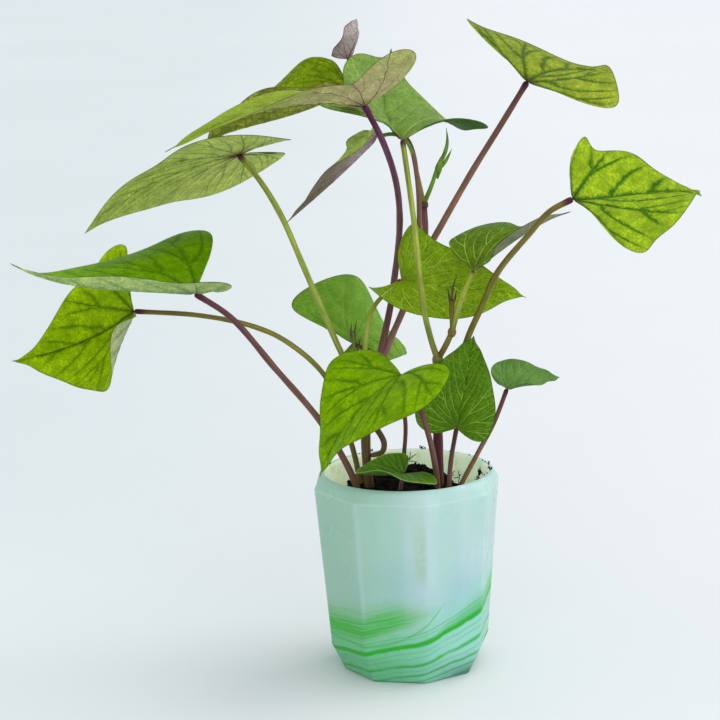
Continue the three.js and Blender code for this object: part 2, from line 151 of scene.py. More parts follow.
@dataclass
class Form:
    """A closed surface in millimetres: points, faces, and values carried by each point."""

    points: np.ndarray
    faces: list[np.ndarray]
    values: dict[str, np.ndarray] = field(default_factory=dict)

    @staticmethod
    def joined(forms: list["Form"]) -> "Form":
        """Puts several forms that carry the same values into one.

        Args:
            forms: the forms, each closed on its own.

        Returns:
            One form with all their points and faces.
        """
        starts = np.cumsum([0] + [len(f.points) for f in forms[:-1]])
        faces = [face + start for f, start in zip(forms, starts) for face in f.faces]
        values = {key: np.concatenate([f.values[key] for f in forms]) for key in forms[0].values}
        return Form(np.concatenate([f.points for f in forms]), faces, values)

    def piece(self, name: str, material: bpy.types.Material, slot: str, *nodes: str) -> None:
        """Makes the Blender object, in metres, and hands it to the frame on the root body.

        Args:
            name: name of the object.
            material: its finish.
            slot: material slot of the record that the finish belongs to; it is not used.
            *nodes: CAD nodes that the object stands for.
        """
        mesh = bpy.data.meshes.new(name)
        corners = np.concatenate([f.ravel() for f in self.faces]).astype(np.int32)
        sizes = np.concatenate([np.full(len(f), f.shape[1]) for f in self.faces])
        starts = np.concatenate([[0], np.cumsum(sizes)[:-1]]).astype(np.int32)
        mesh.vertices.add(len(self.points))
        mesh.vertices.foreach_set("co", (self.points * MM).astype(np.float32).ravel())
        mesh.loops.add(len(corners))
        mesh.loops.foreach_set("vertex_index", corners)
        mesh.polygons.add(len(sizes))
        mesh.polygons.foreach_set("loop_start", starts)
        mesh.polygons.foreach_set("use_smooth", np.ones(len(sizes), bool))
        mesh.update(calc_edges=True)
        kinds = {1: ("FLOAT", "value"), 3: ("FLOAT_VECTOR", "vector"), 4: ("FLOAT_COLOR", "color")}
        for key, value in self.values.items():
            kind, entry = kinds[1 if value.ndim == 1 else value.shape[1]]
            layer = mesh.attributes.new(key, kind, "POINT")
            layer.data.foreach_set(entry, value.astype(np.float32).ravel())
        mesh.materials.append(material)
        made = bpy.data.objects.new(name, mesh)
        bpy.context.scene.collection.objects.link(made)
        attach(made, "root")
        if nodes:
            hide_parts(*nodes)
        log.info("%-20s %6d points %6d faces", name, len(self.points), len(sizes))


def outward(form: Form) -> Form:
    """Turns every face round its first corner if the closed form holds a negative volume.

    The volume is a sixth of the sum of each face's first corner dotted with the cross product
    of its next two.

    Args:
        form: a closed form whose faces agree with one another.

    Returns:
        The same form, with its faces pointing outwards.
    """
    volume = 0.0
    for face in form.faces:
        corner = form.points[face] - form.points.mean(axis=0)
        for k in range(1, face.shape[1] - 1):
            volume += (corner[:, 0] * np.cross(corner[:, k], corner[:, k + 1])).sum()
    if volume < 0:
        form.faces = [np.roll(face[:, ::-1], 1, axis=1) for face in form.faces]
    return form


def stacked(rings: np.ndarray, ends: np.ndarray, **values: np.ndarray) -> Form:
    """A stack of rings, closed by one point at either end.

    Args:
        rings: the points, ring by ring.
        ends: the point before the first ring and the point after the last.
        **values: values carried by the points of the rings and then by the ends.

    Returns:
        The closed form, with its faces pointing outwards.
    """
    rows, sides = rings.shape[:2]
    here = np.arange(rows * sides).reshape(rows, sides)
    near = np.roll(here, -1, axis=1)
    between = np.stack([here[:-1], near[:-1], near[1:], here[1:]], -1).reshape(-1, 4)
    first = np.stack([np.full(sides, rows * sides), near[0], here[0]], -1)
    last = np.stack([np.full(sides, rows * sides + 1), here[-1], near[-1]], -1)
    return outward(Form(np.vstack([rings.reshape(-1, 3), ends]), [between, first, last], values))


def turned(radius: np.ndarray, height: np.ndarray, angle: np.ndarray) -> Form:
    """Rings round the upright axis, of which the first and last shrink to a point.

    Args:
        radius: radius of each ring, or of each of its points.
        height: height of each ring, or of each of its points.
        angle: bearing of each point of a ring, from the front towards the right.

    Returns:
        The closed form, with its faces pointing outwards.
    """
    points = np.stack([radius * np.sin(angle), -radius * np.cos(angle), height + 0 * angle], -1)
    return stacked(points[1:-1], points[[0, -1], 0])


def tube(
    path: np.ndarray,
    radius: np.ndarray,
    sides: int,
    flatten: float = 1.0,
    ridges: tuple[int, float] = (5, 0.04),
) -> Form:
    """A round profile carried along a path, closed by a point at both ends.

    Each ring is radius x (1 + depth cos(ridges x angle)) round the path, in the plane square to
    it, and its second axis is scaled by flatten. The end points stand out by 0.45 of the radius.

    Args:
        path: centres of the rings.
        radius: radius at each centre.
        sides: points round a ring.
        flatten: share of the width that the thickness has.
        ridges: number and depth of the lengthwise ridges.

    Returns:
        The tube, with a lengthwise grain coordinate.
    """
    tangent = unit(np.gradient(path, axis=0))
    axes = np.eye(3)
    reference = axes[np.argmin(np.abs(tangent @ axes.T).max(axis=0))]
    side = unit(np.cross(tangent, reference))
    other = np.cross(tangent, side)
    angle = np.linspace(0, 2 * np.pi, sides, endpoint=False)
    wide = radius[:, None] * (1 + ridges[1] * np.cos(ridges[0] * angle + 0.4))
    x, y = wide * np.cos(angle), wide * np.sin(angle) * flatten
    rings = path[:, None] + x[..., None] * side[:, None] + y[..., None] * other[:, None]
    reach = radius[[0, -1], None] * 0.45 * tangent[[0, -1]] * np.array([[-1], [1]])
    run = distances(path)
    grain = np.stack([x, y, np.broadcast_to(run[:, None], x.shape)], -1).reshape(-1, 3)
    return stacked(rings, path[[0, -1]] + reach, grain=np.vstack([grain, [[0, 0, 0], [0, 0, run[-1]]]]))


# Node work


class Shader:
    """Builds one procedural material node by node; skin is its colour so far."""

    def __init__(self, name: str) -> None:
        """Starts an empty material that uses nodes.

        Args:
            name: name of the material.
        """
        self.material = bpy.data.materials.new(name)
        self.material.use_nodes = True
        self.tree = self.material.node_tree
        self.tree.nodes.clear()
        self.skin: Value = (0, 0, 0, 1)

    def node(self, kind: str, inputs: dict | None = None, **settings: object) -> bpy.types.Node:
        """Adds a node.

        Args:
            kind: Blender's name of the node type.
            inputs: values or sockets by input name or number.
            **settings: properties of the node.

        Returns:
            The new node.
        """
        made = self.tree.nodes.new(kind)
        for key, value in settings.items():
            setattr(made, key, value)
        for key, value in (inputs or {}).items():
            if isinstance(value, Socket):
                self.tree.links.new(value, made.inputs[key])
            else:
                made.inputs[key].default_value = value
        return made

    def math(self, operation: str, *values: Value) -> Socket:
        """Result of one Math node."""
        return self.node("ShaderNodeMath", dict(enumerate(values)), operation=operation).outputs[0]

    def times(self, first: Value, second: Value) -> Socket:
        """Product of two values."""
        return self.math("MULTIPLY", first, second)

    def less(self, first: Value, second: Value) -> Socket:
        """First value less the second."""
        return self.math("SUBTRACT", first, second)

    def plus(self, first: Value, share: Value, second: Value) -> Socket:
        """First value times the share, plus the second value."""
        return self.math("MULTIPLY_ADD", first, share, second)

    def off(self, value: Value, middle: float) -> Socket:
        """How far a value is from a middle, either way."""
        return self.math("ABSOLUTE", self.less(value, middle))

    def span(self, value: Value, low: float, high: float, start: Value = 0.0, end: Value = 1.0) -> Socket:
        """Maps low..high smoothly to start..end, held at both ends."""
        inputs = {0: value, 1: low, 2: high, 3: start, 4: end}
        return self.node("ShaderNodeMapRange", inputs, interpolation_type="SMOOTHSTEP").outputs[0]

    def fade(self, value: Value, low: float, high: float, start: Value = 1.0) -> Socket:
        """Falls smoothly from start at low to nothing at high."""
        return self.span(value, low, high, start, 0.0)

    def mix(self, share: Value, first: Value, second: Value, blend: str = "MIX") -> Socket:
        """Colour between two colours, or the second laid on the first in another blend mode."""
        inputs = {"Factor": share, 6: first, 7: second}
        return self.node("ShaderNodeMix", inputs, data_type="RGBA", blend_type=blend).outputs[2]

    def blend(self, share: Value, colour: Value) -> None:
        """Turns the skin by a share to a linear colour."""
        self.skin = self.mix(share, self.skin, colour)

    def lay(self, colour: Colour, *masks: Value) -> None:
        """Turns the skin to a screen colour by the product of the masks."""
        self.blend(reduce(self.times, masks), linear(colour))

    def strained(self, factors: Colour) -> Socket:
        """The skin with its red, green and blue multiplied by the factors."""
        return self.mix(1.0, self.skin, (*factors, 1), "MULTIPLY")

    def carried(self, name: str) -> bpy.types.Node:
        """Attribute node that reads a value carried by the mesh."""
        return self.node("ShaderNodeAttribute", attribute_name=name)

    def noise(self, place: Value, scale: float, detail: float = 3.0, rough: float = 0.55) -> Socket:
        """Noise value at a place."""
        inputs = {"Vector": place, "Scale": scale, "Detail": detail, "Roughness": rough}
        return self.node("ShaderNodeTexNoise", inputs).outputs[0]

    def cells(self, place: Value, scale: float, feature: str = "F1") -> Socket:
        """Distance output of a Voronoi pattern."""
        inputs = {"Vector": place, "Scale": scale}
        return self.node("ShaderNodeTexVoronoi", inputs, feature=feature).outputs["Distance"]

    def scaled(self, place: Value, scale: Point) -> Socket:
        """Place stretched along its axes."""
        return self.node("ShaderNodeMapping", {"Vector": place, "Scale": scale}).outputs[0]

    def stretched(self, place: Value, scale: Point, detail: float = 2.0, rough: float = 0.55) -> Socket:
        """Noise at a place stretched along its axes."""
        return self.noise(self.scaled(place, scale), 1.0, detail, rough)

    def object_place(self) -> Socket:
        """Place in the object's own coordinates, in millimetres."""
        return self.scaled(self.node("ShaderNodeTexCoord").outputs["Object"], (1000, 1000, 1000))

    def dress(
        self, roughness: Value, height: Value, depth: float, glow: float = 0.0, **sockets: Value
    ) -> bpy.types.Material:
        """Ends the material in a Principled shader, with some light let through if asked.

        Args:
            roughness: roughness value or socket.
            height: height field for the bump, 0 to 1.
            depth: what a height of 1 stands for, in metres.
            glow: share of light that passes through.
            **sockets: other inputs of the Principled shader, with _ for a blank.

        Returns:
            The finished material, in the colour of the skin.
        """
        bump = self.node("ShaderNodeBump", {"Height": height, "Distance": depth, "Strength": 1.0})
        inputs = {"Base Color": self.skin, "Roughness": roughness, "Normal": bump.outputs[0]}
        inputs |= {key.replace("_", " "): value for key, value in sockets.items()}
        surface = self.node("ShaderNodeBsdfPrincipled", inputs).outputs[0]
        if glow:
            lit = self.node("ShaderNodeBsdfTranslucent", {"Color": self.skin}).outputs[0]
            surface = self.node("ShaderNodeMixShader", {0: glow, 1: surface, 2: lit}).outputs[0]
        self.node("ShaderNodeOutputMaterial", {"Surface": surface})
        return self.material


# Leaf skin


@dataclass(frozen=True)
class BladeFinish:
    """Finish of one leaf blade: colours of its two sides and how its veins show.

    vein and rib are the veins' colours above and below. main, second, net and halo are the
    strengths of the main veins, the side veins, the net between them and the dark band along
    them. near colours the skin round the junction, and far the lower side away from it.
    """

    upper: Colour
    lower: Colour
    vein: Colour
    rib: Colour
    main: float = 0.8
    second: float = 0.5
    net: float = 0.2
    halo: float = 0.0
    width: float = 0.5
    near: Colour = (120, 70, 80)
    near_reach: float = 5.0
    near_share: float = 0.5
    far: Colour | None = None
    rim: Colour = (84, 92, 30)
    speck: Colour = (38, 36, 14)
    glow: float = 0.22
    blotch: float = 0.65
    gloss: float = 0.45
    specks: float = 0.6
    mottle: float = 0.9
    pairs: float = 5.0
    relief: float = 0.00022

    def spacing(self, length: float) -> float:
        """Distance along the midrib between side veins, in millimetres, for a midrib's length."""
        return max(3.4, length / self.pairs)

    def material(self, name: str, length: float) -> bpy.types.Material:
        """Leaf skin under this finish.

        Args:
            name: name of the material.
            length: length of the blade's midrib in millimetres.

        Returns:
            The material.
        """
        s = LeafSkin(name, self, length)
        s.body()
        if self.halo:
            s.halo()
        s.veins()
        s.edge()
        rough = s.span(s.grain, 0.2, 0.8, self.gloss - 0.08, self.gloss + 0.14)
        return s.dress(rough, s.height(), self.relief, self.glow, Specular_IOR_Level=0.07)


class LeafSkin(Shader):
    """Node work of one blade's skin, on the coordinates that the blade's mesh carries.

    flat is the place on the flat blade, rib counts the main veins round the junction, reach is
    what a step of rib is in millimetres there, run the distance from the junction, rim the
    distance to the margin, and under is 1 on the lower side. Main veins lie where rib, bent a
    little by noise, is whole. Side veins leave them where run, less the lean and the bow of the
    way out, is a whole number of spacings. Between them lie two nets of small cells.
    """

    def __init__(self, name: str, finish: BladeFinish, length: float) -> None:
        """Starts the material and works out the distances to its veins.

        Args:
            name: name of the material.
            finish: the blade's finish.
            length: length of its midrib in millimetres.
        """
        super().__init__(name)
        self.finish, self.length = finish, length
        self.flat = self.carried("flat").outputs["Vector"]
        keys = ("rib", "reach", "run", "rim", "under")
        rib, reach, self.run, self.rim, self.under = (self.carried(key).outputs["Fac"] for key in keys)
        wander = self.less(self.noise(self.flat, 0.16, 2.0), 0.5)
        bent = self.plus(wander, 0.16, rib)
        self.to_main = self.times(self.math("PINGPONG", bent, 0.5), reach)
        out = self.times(self.math("FRACT", bent), reach)
        bow = self.plus(self.times(out, out), SIDE_BOW, self.times(out, SIDE_LEAN))
        spacing = finish.spacing(length)
        left = self.node("ShaderNodeSeparateXYZ", {0: self.flat}).outputs[1]
        shift = self.times(self.math("GREATER_THAN", left, 0.0), LEFT_SHIFT)
        order = self.plus(wander, 0.55, self.plus(self.less(self.run, bow), 1 / spacing, shift))
        self.to_side = self.times(self.math("PINGPONG", order, 0.5), spacing * SIDE_WEIGHT)
        self.cell = self.cells(self.flat, 3.6 / spacing, "DISTANCE_TO_EDGE")
        self.fine = self.cells(self.flat, 11.0 / spacing, "DISTANCE_TO_EDGE")
        self.grain = self.noise(self.flat, 0.9, 3.0, 0.6)

    def body(self) -> None:
        """Colours the skin between the veins: each side's own, blotched, grained and flecked."""
        finish = self.finish
        self.skin = self.mix(self.under, linear(finish.upper), linear(finish.lower))
        if finish.far:
            self.lay(finish.far, self.span(self.run, self.length * 0.12, self.length * 0.65), self.under)
        self.lay(finish.near, self.fade(self.run, 0.0, finish.near_reach, finish.near_share))
        dark, bright = self.strained((0.52, 0.6, 0.5)), self.strained((1.3, 1.22, 1.2))
        blotches = self.span(self.noise(self.flat, 0.11, 4.0, 0.6), 0.3, 0.7)
        self.blend(finish.blotch, self.mix(blotches, dark, bright))
        self.blend(self.span(self.grain, 0.34, 0.66, 0.0, 0.6), dark)
        flecks = self.span(self.noise(self.flat, 0.36, 4.0, 0.65), 0.4, 0.62, 0.0, finish.mottle)
        self.blend(flecks, self.strained((1.4, 1.22, 0.85)))

    def halo(self) -> None:
        """Lays a dark band with a feathered edge, 1.2 to 4.6 mm to each side, along the veins."""
        spread = self.span(self.noise(self.flat, 0.8, 3.0, 0.65), 0.3, 0.7, 1.2, 4.6)
        broad = self.fade(self.math("DIVIDE", self.to_main, spread), 0.2, 1.1)
        softer = self.fade(self.math("DIVIDE", self.to_side, spread), 0.1, 0.9)
        inside = self.span(self.rim, 0.5, 9.0, 0.2, 1.0)
        band = self.times(self.math("MAXIMUM", broad, softer), inside)
        self.blend(self.times(band, self.finish.halo), self.strained((0.2, 0.4, 0.4)))

    def veins(self) -> None:
        """Draws the two nets, the side veins and the main veins, which taper towards the tip."""
        finish = self.finish
        colour = self.mix(self.under, linear(finish.vein), linear(finish.rib))
        close = self.fade(self.run, 0.0, max(14.0, finish.near_reach), 0.7)
        colour = self.mix(close, colour, linear(finish.near))
        wide = self.times(self.span(self.run, 0.0, self.length, 1.0, 0.35), finish.width)
        self.blend(self.fade(self.fine, 0.0, 0.16, finish.net / 2), colour)
        self.blend(self.fade(self.cell, 0.02, 0.09, finish.net), colour)
        self.blend(self.fade(self.math("DIVIDE", self.to_side, wide), 0.15, 0.75, finish.second), colour)
        self.blend(self.fade(self.math("DIVIDE", self.to_main, wide), 0.35, 1.0, finish.main), colour)

    def edge(self) -> None:
        """Colours the last 0.7 mm to the margin, and sets dark specks in some parts of the blade."""
        self.lay(self.finish.rim, self.fade(self.rim, 0.1, 0.7, 0.75))
        dots = self.cells(self.scaled(self.flat, (1, 1.13, 1)), 0.16)
        chosen = self.span(self.noise(self.flat, 0.07, 1.0), 0.5, 0.52)
        self.lay(self.finish.speck, self.fade(dots, 0.035, 0.065, self.finish.specks), chosen)

    def height(self) -> Socket:
        """Height of the skin: puffed between the veins, pimpled by the finer net and the grain.

        Returns:
            The height, from 0 to about 1.
        """
        puff = self.math("MINIMUM", self.span(self.to_main, 0.0, 1.6), self.span(self.to_side, 0.0, 1.4))
        pimples = self.plus(self.span(self.fine, 0.0, 0.3), 0.22, self.times(puff, 0.6))
        return self.plus(self.grain, 0.12, pimples)


# Stem skin


@dataclass(frozen=True)
class StemFinish:
    """Colours of a stem from its foot to its end, which its mesh carries as a tone."""

    foot: Colour
    middle: Colour
    end: Colour
    tip: Colour = (78, 34, 48)
    tip_share: float = 0.045

    def tones(self, share: np.ndarray) -> np.ndarray:
        """Linear colour at each share of the stem's length.

        The three colours are blended straight from foot to middle to end, and the last part
        turns to the colour of the tip.

        Args:
            share: 0 at the foot to 1 at the end.

        Returns:
            One colour with alpha a point.
        """
        keys = np.array([linear(c) for c in (self.foot, self.middle, self.end)])
        tone = np.stack([np.interp(share, [0, 0.5, 1], keys[:, k]) for k in range(4)], -1)
        ending = smooth(share, 1 - self.tip_share, 1 - self.tip_share * 0.3)[:, None]
        return tone * (1 - ending) + np.array(linear(self.tip)) * ending


@dataclass(frozen=True)
class BarkFinish:
    """The one skin that all stems share: it reads the tone and grain carried by the mesh."""

    shade: Colour = (0.45, 0.42, 0.45)
    shine: Colour = (1.5, 1.5, 1.4)
    fleck: Colour = (40, 22, 20)
    relief: float = 0.0002

    def material(self) -> bpy.types.Material:
        """Stem skin with lengthwise streaks, fine ridges and scattered dark specks.

        Returns:
            The material.
        """
        s = Shader("stem_bark")
        s.skin = s.carried("tone").outputs["Color"]
        grain = s.carried("grain").outputs["Vector"]
        streaks = s.stretched(grain, (1.6, 1.6, 0.05), 4.0, 0.6)
        patches = s.stretched(grain, (0.5, 0.5, 0.12), 3.0, 0.6)
        dark, light = s.strained(self.shade), s.strained(self.shine)
        s.blend(0.6, s.mix(s.span(streaks, 0.3, 0.7), dark, light))
        s.blend(s.span(patches, 0.45, 0.7, 0.0, 0.4), dark)
        s.lay(self.fleck, s.fade(s.cells(s.scaled(grain, (1.0, 1.0, 0.3)), 0.9), 0.08, 0.16, 0.55))
        height = s.plus(streaks, 0.7, s.times(patches, 0.3))
        return s.dress(s.span(streaks, 0.2, 0.8, 0.38, 0.58), height, self.relief, Specular_IOR_Level=0.16)


# Pot and soil skins


@dataclass(frozen=True)
class GlassFinish:
    """Milky mint glass with blue clouds and green swirls, and a cream inside whose colour and glow are
    painted light that stands for light let through the glass.

    A cloud is a middle and a reach, and a thin band a level, a half width and a strength. glow is
    the light let through, and lit is the strength of a painted glow, an emission on the inside
    that stands for the light that the wall carries there.
    """

    mint: Colour = (201, 233, 231)
    blue: Colour = (194, 230, 245)
    cloud: Colour = (158, 204, 228)
    pale: Colour = (218, 238, 246)
    # shade is the colour of the painted shade laid on the left of the pot
    shade: Colour = (170, 212, 188)
    lower: Colour = (162, 234, 220)
    moss: Colour = (112, 212, 152)
    swirl: Colour = (68, 198, 64)
    thread: Colour = (48, 190, 48)
    deep: Colour = (36, 128, 96)
    cream: Colour = (244, 246, 216)
    # a second tint of the painted cream glow inside, mixed in by noise
    inner_glow: Colour = (222, 230, 190)
    smear: Colour = (178, 212, 160)
    fleck: Colour = (60, 84, 60)
    crease: Colour = (240, 252, 246)
    clouds: tuple[tuple[Point, float], ...] = (
        ((-7, -38, 47), 22), ((-27, -30, 42), 20), ((24, -30, 40), 22),
    )
    bands: tuple[Point, ...] = (
        (23.9, 0.3, 0.4), (22.4, 0.25, 0.3), (15.8, 0.3, 0.35), (13.4, 0.3, 0.3), (9.7, 0.7, 0.85),
        (6.7, 0.25, 0.35), (4.0, 0.55, 0.8), (0.6, 0.45, 0.6), (-3.0, 0.4, 0.6), (-6.4, 0.5, 0.6),
    )
    strong_level: float = 19.2
    crease_height: float = 84.8
    corner_turn: float = 11.0
    glow: float = 0.4
    lit: float = 0.32
    relief: float = 0.00002

    def material(self) -> bpy.types.Material:
        """Glass skin: clouded, with painted highlights on the corners, smeared, swirled and marked outside,
        and painted a mottled cream with a painted glow inside.

        Returns:
            The material.
        """
        s = GlassSkin(self)
        for step in (s.clouds, s.corner_highlights_and_smear, s.broad_bands, s.thin_bands, s.marks):
            step()
        inner = s.inner_wall()
        # painted glow: the inside painted a mottled cream and given an emission that stands for light let
        # through the glass
        inner_glow = s.mix(s.span(s.noise(s.place, 0.2), 0.4, 0.7), linear(self.cream), linear(self.inner_glow))
        s.blend(inner, inner_glow)
        rough = s.span(s.noise(s.place, 0.06, 2.0), 0.3, 0.7, 0.26, 0.3)
        return s.dress(
            rough, s.noise(s.place, 0.02, 1.0), self.relief, self.glow, Coat_Weight=0.2, Coat_Roughness=0.25,
            Specular_IOR_Level=0.4, Emission_Color=inner_glow, Emission_Strength=s.times(inner, self.lit),
        )


class GlassSkin(Shader):
    """Node work of the pot's glass, in the pot's own place in millimetres.

    The swirls follow lines of one level, which is z + 0.23 |x| on the left and
    z - x (0.2 + 0.006 z) on the right, plus two sizes of noise.
    """

    def __init__(self, finish: GlassFinish) -> None:
        """Starts the material and works out the level of the swirls.

        Args:
            finish: the glass's finish.
        """
        super().__init__("milk_glass")
        self.finish = finish
        self.place = self.object_place()
        self.x, self.y, self.z = self.node("ShaderNodeSeparateXYZ", {0: self.place}).outputs[:3]
        wander = self.less(self.stretched(self.place, (0.05, 0.05, 0.03)), 0.5)
        fine = self.less(self.stretched(self.place, (0.14, 0.14, 0.08)), 0.5)
        left, right = self.math("MINIMUM", self.x, 0.0), self.math("MAXIMUM", self.x, 0.0)
        steep = self.times(right, self.plus(self.z, 0.006, 0.2))
        level = self.less(self.plus(left, -0.23, self.z), steep)
        self.level = self.plus(fine, 1.2, self.plus(wander, 3.0, level))

    def clouds(self) -> None:
        """Clouds the mint with blue and pale upright veils, and lays painted shade, a darker green, towards
        the left.
        """
        finish = self.finish
        self.skin = linear(finish.mint)
        haze = self.stretched(self.place, (0.022, 0.022, 0.018))
        veils = self.stretched(self.place, (0.09, 0.09, 0.012))
        self.lay(finish.blue, self.span(haze, 0.4, 0.7, 0.0, 0.7))
        self.lay(finish.pale, self.span(veils, 0.42, 0.7, 0.0, 0.8))
        for middle, reach in finish.clouds:
            away = self.node("ShaderNodeVectorMath", {0: self.place, 1: middle}, operation="DISTANCE")
            self.lay(finish.cloud, self.fade(away.outputs["Value"], 0.0, reach, 0.42))
        # painted shade: the left side of the glass turned darker and greener, most at the far left
        self.lay(finish.shade, self.fade(self.x, -34.0, 14.0, 0.75))

    def corner_highlights_and_smear(self) -> None:
        """Lays painted highlights, a paler tint, on the eight corners below the mouth, and smears the front
        a yellowish green.
        """
        finish, z = self.finish, self.z
        bearing = self.math("ARCTAN2", self.x, self.times(self.y, -1.0))
        corners = self.math("PINGPONG", self.plus(bearing, 4 / np.pi, -finish.corner_turn / 45), 0.5)
        # painted highlight: the eight rounded corners paler, up to the shoulder below the mouth
        self.lay(finish.pale, self.fade(corners, 0.0, 0.07, 0.36), self.fade(z, 84.0, 86.0))
        front = self.times(self.fade(self.off(self.x, 4.5), 0.5, 4.0, 0.5), self.fade(self.y, -10.0, 0.0))
        patchy = self.span(self.noise(self.place, 0.4), 0.3, 0.6, 0.4, 1.0)
        self.lay(finish.smear, front, self.span(z, 46.0, 54.0), self.span(z, 66.0, 82.0, 1.0, 0.3), patchy)

    def broad_bands(self) -> None:
        """Greens the lower third, and draws the broad band in strands and the strong band.

        The broad band follows a level that falls by another 0.13 (x + 21) beyond x = -21, and
        ends past the middle. The strong band fades upwards over 1.6 mm on the left to 9 mm on
        the right.
        """
        finish, x, y = self.finish, self.x, self.y
        lower = self.mix(self.span(x, -16.0, 26.0), linear(finish.moss), linear(finish.lower))
        self.blend(self.fade(self.level, 20.0, 37.0, 0.8), lower)
        tilted = self.plus(self.math("MAXIMUM", self.math("ADD", x, 21.0), 0.0), -0.13, self.level)
        broad = self.times(self.span(tilted, 23.5, 29.0), self.fade(tilted, 31.0, 45.0))
        drawn = {0: self.times(x, 0.04), 1: self.times(y, 0.04), 2: self.level}
        drawn = self.node("ShaderNodeCombineXYZ", drawn).outputs[0]
        strands = self.span(self.noise(drawn, 0.8, 3.0, 0.6), 0.36, 0.56, 0.65, 1.0)
        ending = self.fade(self.plus(self.less(tilted, 32.0), 0.9, x), -12.0, 12.0)
        self.lay(finish.swirl, broad, strands, ending, self.span(y, 5.0, 20.0, 1.0, 0.25))
        over = self.less(self.level, finish.strong_level)
        upward = self.fade(self.math("DIVIDE", over, self.span(x, 2.0, 32.0, 1.6, 9.0)), 0.0, 1.0, 0.75)
        self.lay(finish.swirl, self.span(over, -1.0, -0.5), upward)
        self.lay(finish.thread, self.fade(self.math("ABSOLUTE", over), 0.5, 1.6, 0.95))

    def thin_bands(self) -> None:
        """Draws the strand that curls up, and the thin bands in patchy strength.

        The strand's height is 17.6 + 21 s^3.2, where s is the share of the way from x = -34 to
        x = 15.
        """
        way = self.times(self.math("MAXIMUM", self.math("ADD", self.x, 34.0), 0.0), 1 / 49)
        curl = self.off(self.plus(self.math("POWER", way, 3.2), -21.0, self.z), 17.6)
        self.lay(self.finish.swirl, self.fade(curl, 0.1, 1.1, 0.5), self.fade(self.x, 10.0, 18.0))
        patchy = self.span(self.stretched(self.place, (0.07, 0.07, 0.07)), 0.3, 0.55, 0.6, 1.0)
        for middle, half, strength in self.finish.bands:
            band = self.fade(self.off(self.level, middle), half * 0.1, half * 2.0, strength)
            self.lay(self.finish.thread, band, patchy)

    def marks(self) -> None:
        """Deepens the foot and its right corner; adds dark flecks, and a painted highlight, a pale line,
        along the crease at the mouth.
        """
        finish, z = self.finish, self.z
        self.lay(finish.deep, self.span(self.x, 6.0, 30.0, 0.0, 0.85), self.fade(z, 0.5, 9.0))
        self.lay(finish.deep, self.fade(z, 0.0, 1.0, 0.5))
        chosen = self.span(self.noise(self.place, 0.05, 1.0), 0.5, 0.52)
        self.lay(finish.fleck, self.fade(self.cells(self.place, 0.07), 0.02, 0.035, 0.7), chosen)
        # painted highlight: a pale line along the crease where the facets end below the mouth
        self.lay(finish.crease, self.fade(self.off(z, finish.crease_height), 0.0, 0.9, 0.24))

    def inner_wall(self) -> Socket:
        """Mask of the inside: within a cone of radius 28.2 + 0.087 z, and above the floor.

        Returns:
            1 on the inner wall, falling to 0 over 0.6 mm.
        """
        away = self.math("SQRT", self.math("ADD", self.times(self.x, self.x), self.times(self.y, self.y)))
        past_wall = self.less(away, self.plus(self.z, 0.087, 28.2))
        return self.times(self.fade(past_wall, 0.5, 1.1), self.span(self.z, 7.0, 8.0))


@dataclass(frozen=True)
class SoilFinish:
    """Dark damp potting soil with paler fibres and grit."""

    wet: Colour = (9, 6, 5)
    dry: Colour = (26, 18, 14)
    grit: Colour = (96, 80, 62)
    relief: float = 0.0009

    def material(self) -> bpy.types.Material:
        """Soil skin: lumps of two browns, grit in small cells, and deep bump.

        Returns:
            The material.
        """
        s = Shader("soil_skin")
        place = s.object_place()
        lumps = s.noise(place, 0.45, 5.0, 0.65)
        s.skin = s.mix(s.span(lumps, 0.35, 0.68), linear(self.wet), linear(self.dry))
        s.lay(self.grit, s.fade(s.cells(place, 0.8), 0.1, 0.18, 0.35))
        height = s.plus(s.noise(place, 1.6, 5.0, 0.7), 0.6, lumps)
        return s.dress(s.span(lumps, 0.3, 0.7, 0.75, 0.95), height, self.relief, Specular_IOR_Level=0.05)


@dataclass(frozen=True)
class FloorFinish:
    """Pale matt floor with a faint mist in its tone; painted shade makes it a little greyer at the back
    left, and painted light makes it paler in front, round the pot's shadow.
    """

    left: tuple[Colour, Colour] = ((201, 207, 207), (207, 212, 212))
    right: tuple[Colour, Colour] = ((216, 217, 219), (222, 222, 223))
    front: Colour = (217, 222, 222)
    relief: float = 0.0001

    def material(self) -> bpy.types.Material:
        """Floor skin, on the floor's own place in metres.

        Returns:
            The material.
        """
        s = Shader("pale_floor")
        place = s.node("ShaderNodeTexCoord").outputs["Object"]
        across, depth = s.node("ShaderNodeSeparateXYZ", {0: place}).outputs[:2]
        mist = s.noise(place, 3.0)
        # painted shade: the left tones greyer than the right ones
        s.skin, right = (s.mix(mist, linear(low), linear(high)) for low, high in (self.left, self.right))
        # painted light: a paler tone in front, which lightens the shadow round the pot
        s.lay(self.front, s.fade(depth, -0.12, 0.4))
        s.blend(s.span(across, -0.3, 0.3), right)
        return s.dress(0.7, s.noise(place, 60.0), self.relief, Specular_IOR_Level=0.04)


# Leaves


class Half(Enum):
    """The two halves of a blade, seen from above with its tip ahead."""

    LEFT = 0
    RIGHT = 1


@dataclass
class BladeGrid:
    """Coordinates on the grid of a flat blade: a row a spoke from the junction, a column a ring.

    angle is the spoke's place on the margin, side 1 on the left half and -1 on the right, and
    share the ring's place from the junction to the margin. The others are as in the leaf's skin.
    """

    angle: np.ndarray
    side: np.ndarray
    share: np.ndarray
    x: np.ndarray
    y: np.ndarray
    run: np.ndarray
    rib: np.ndarray
    reach: np.ndarray
    rim: np.ndarray
    to_main: np.ndarray
    to_side: np.ndarray


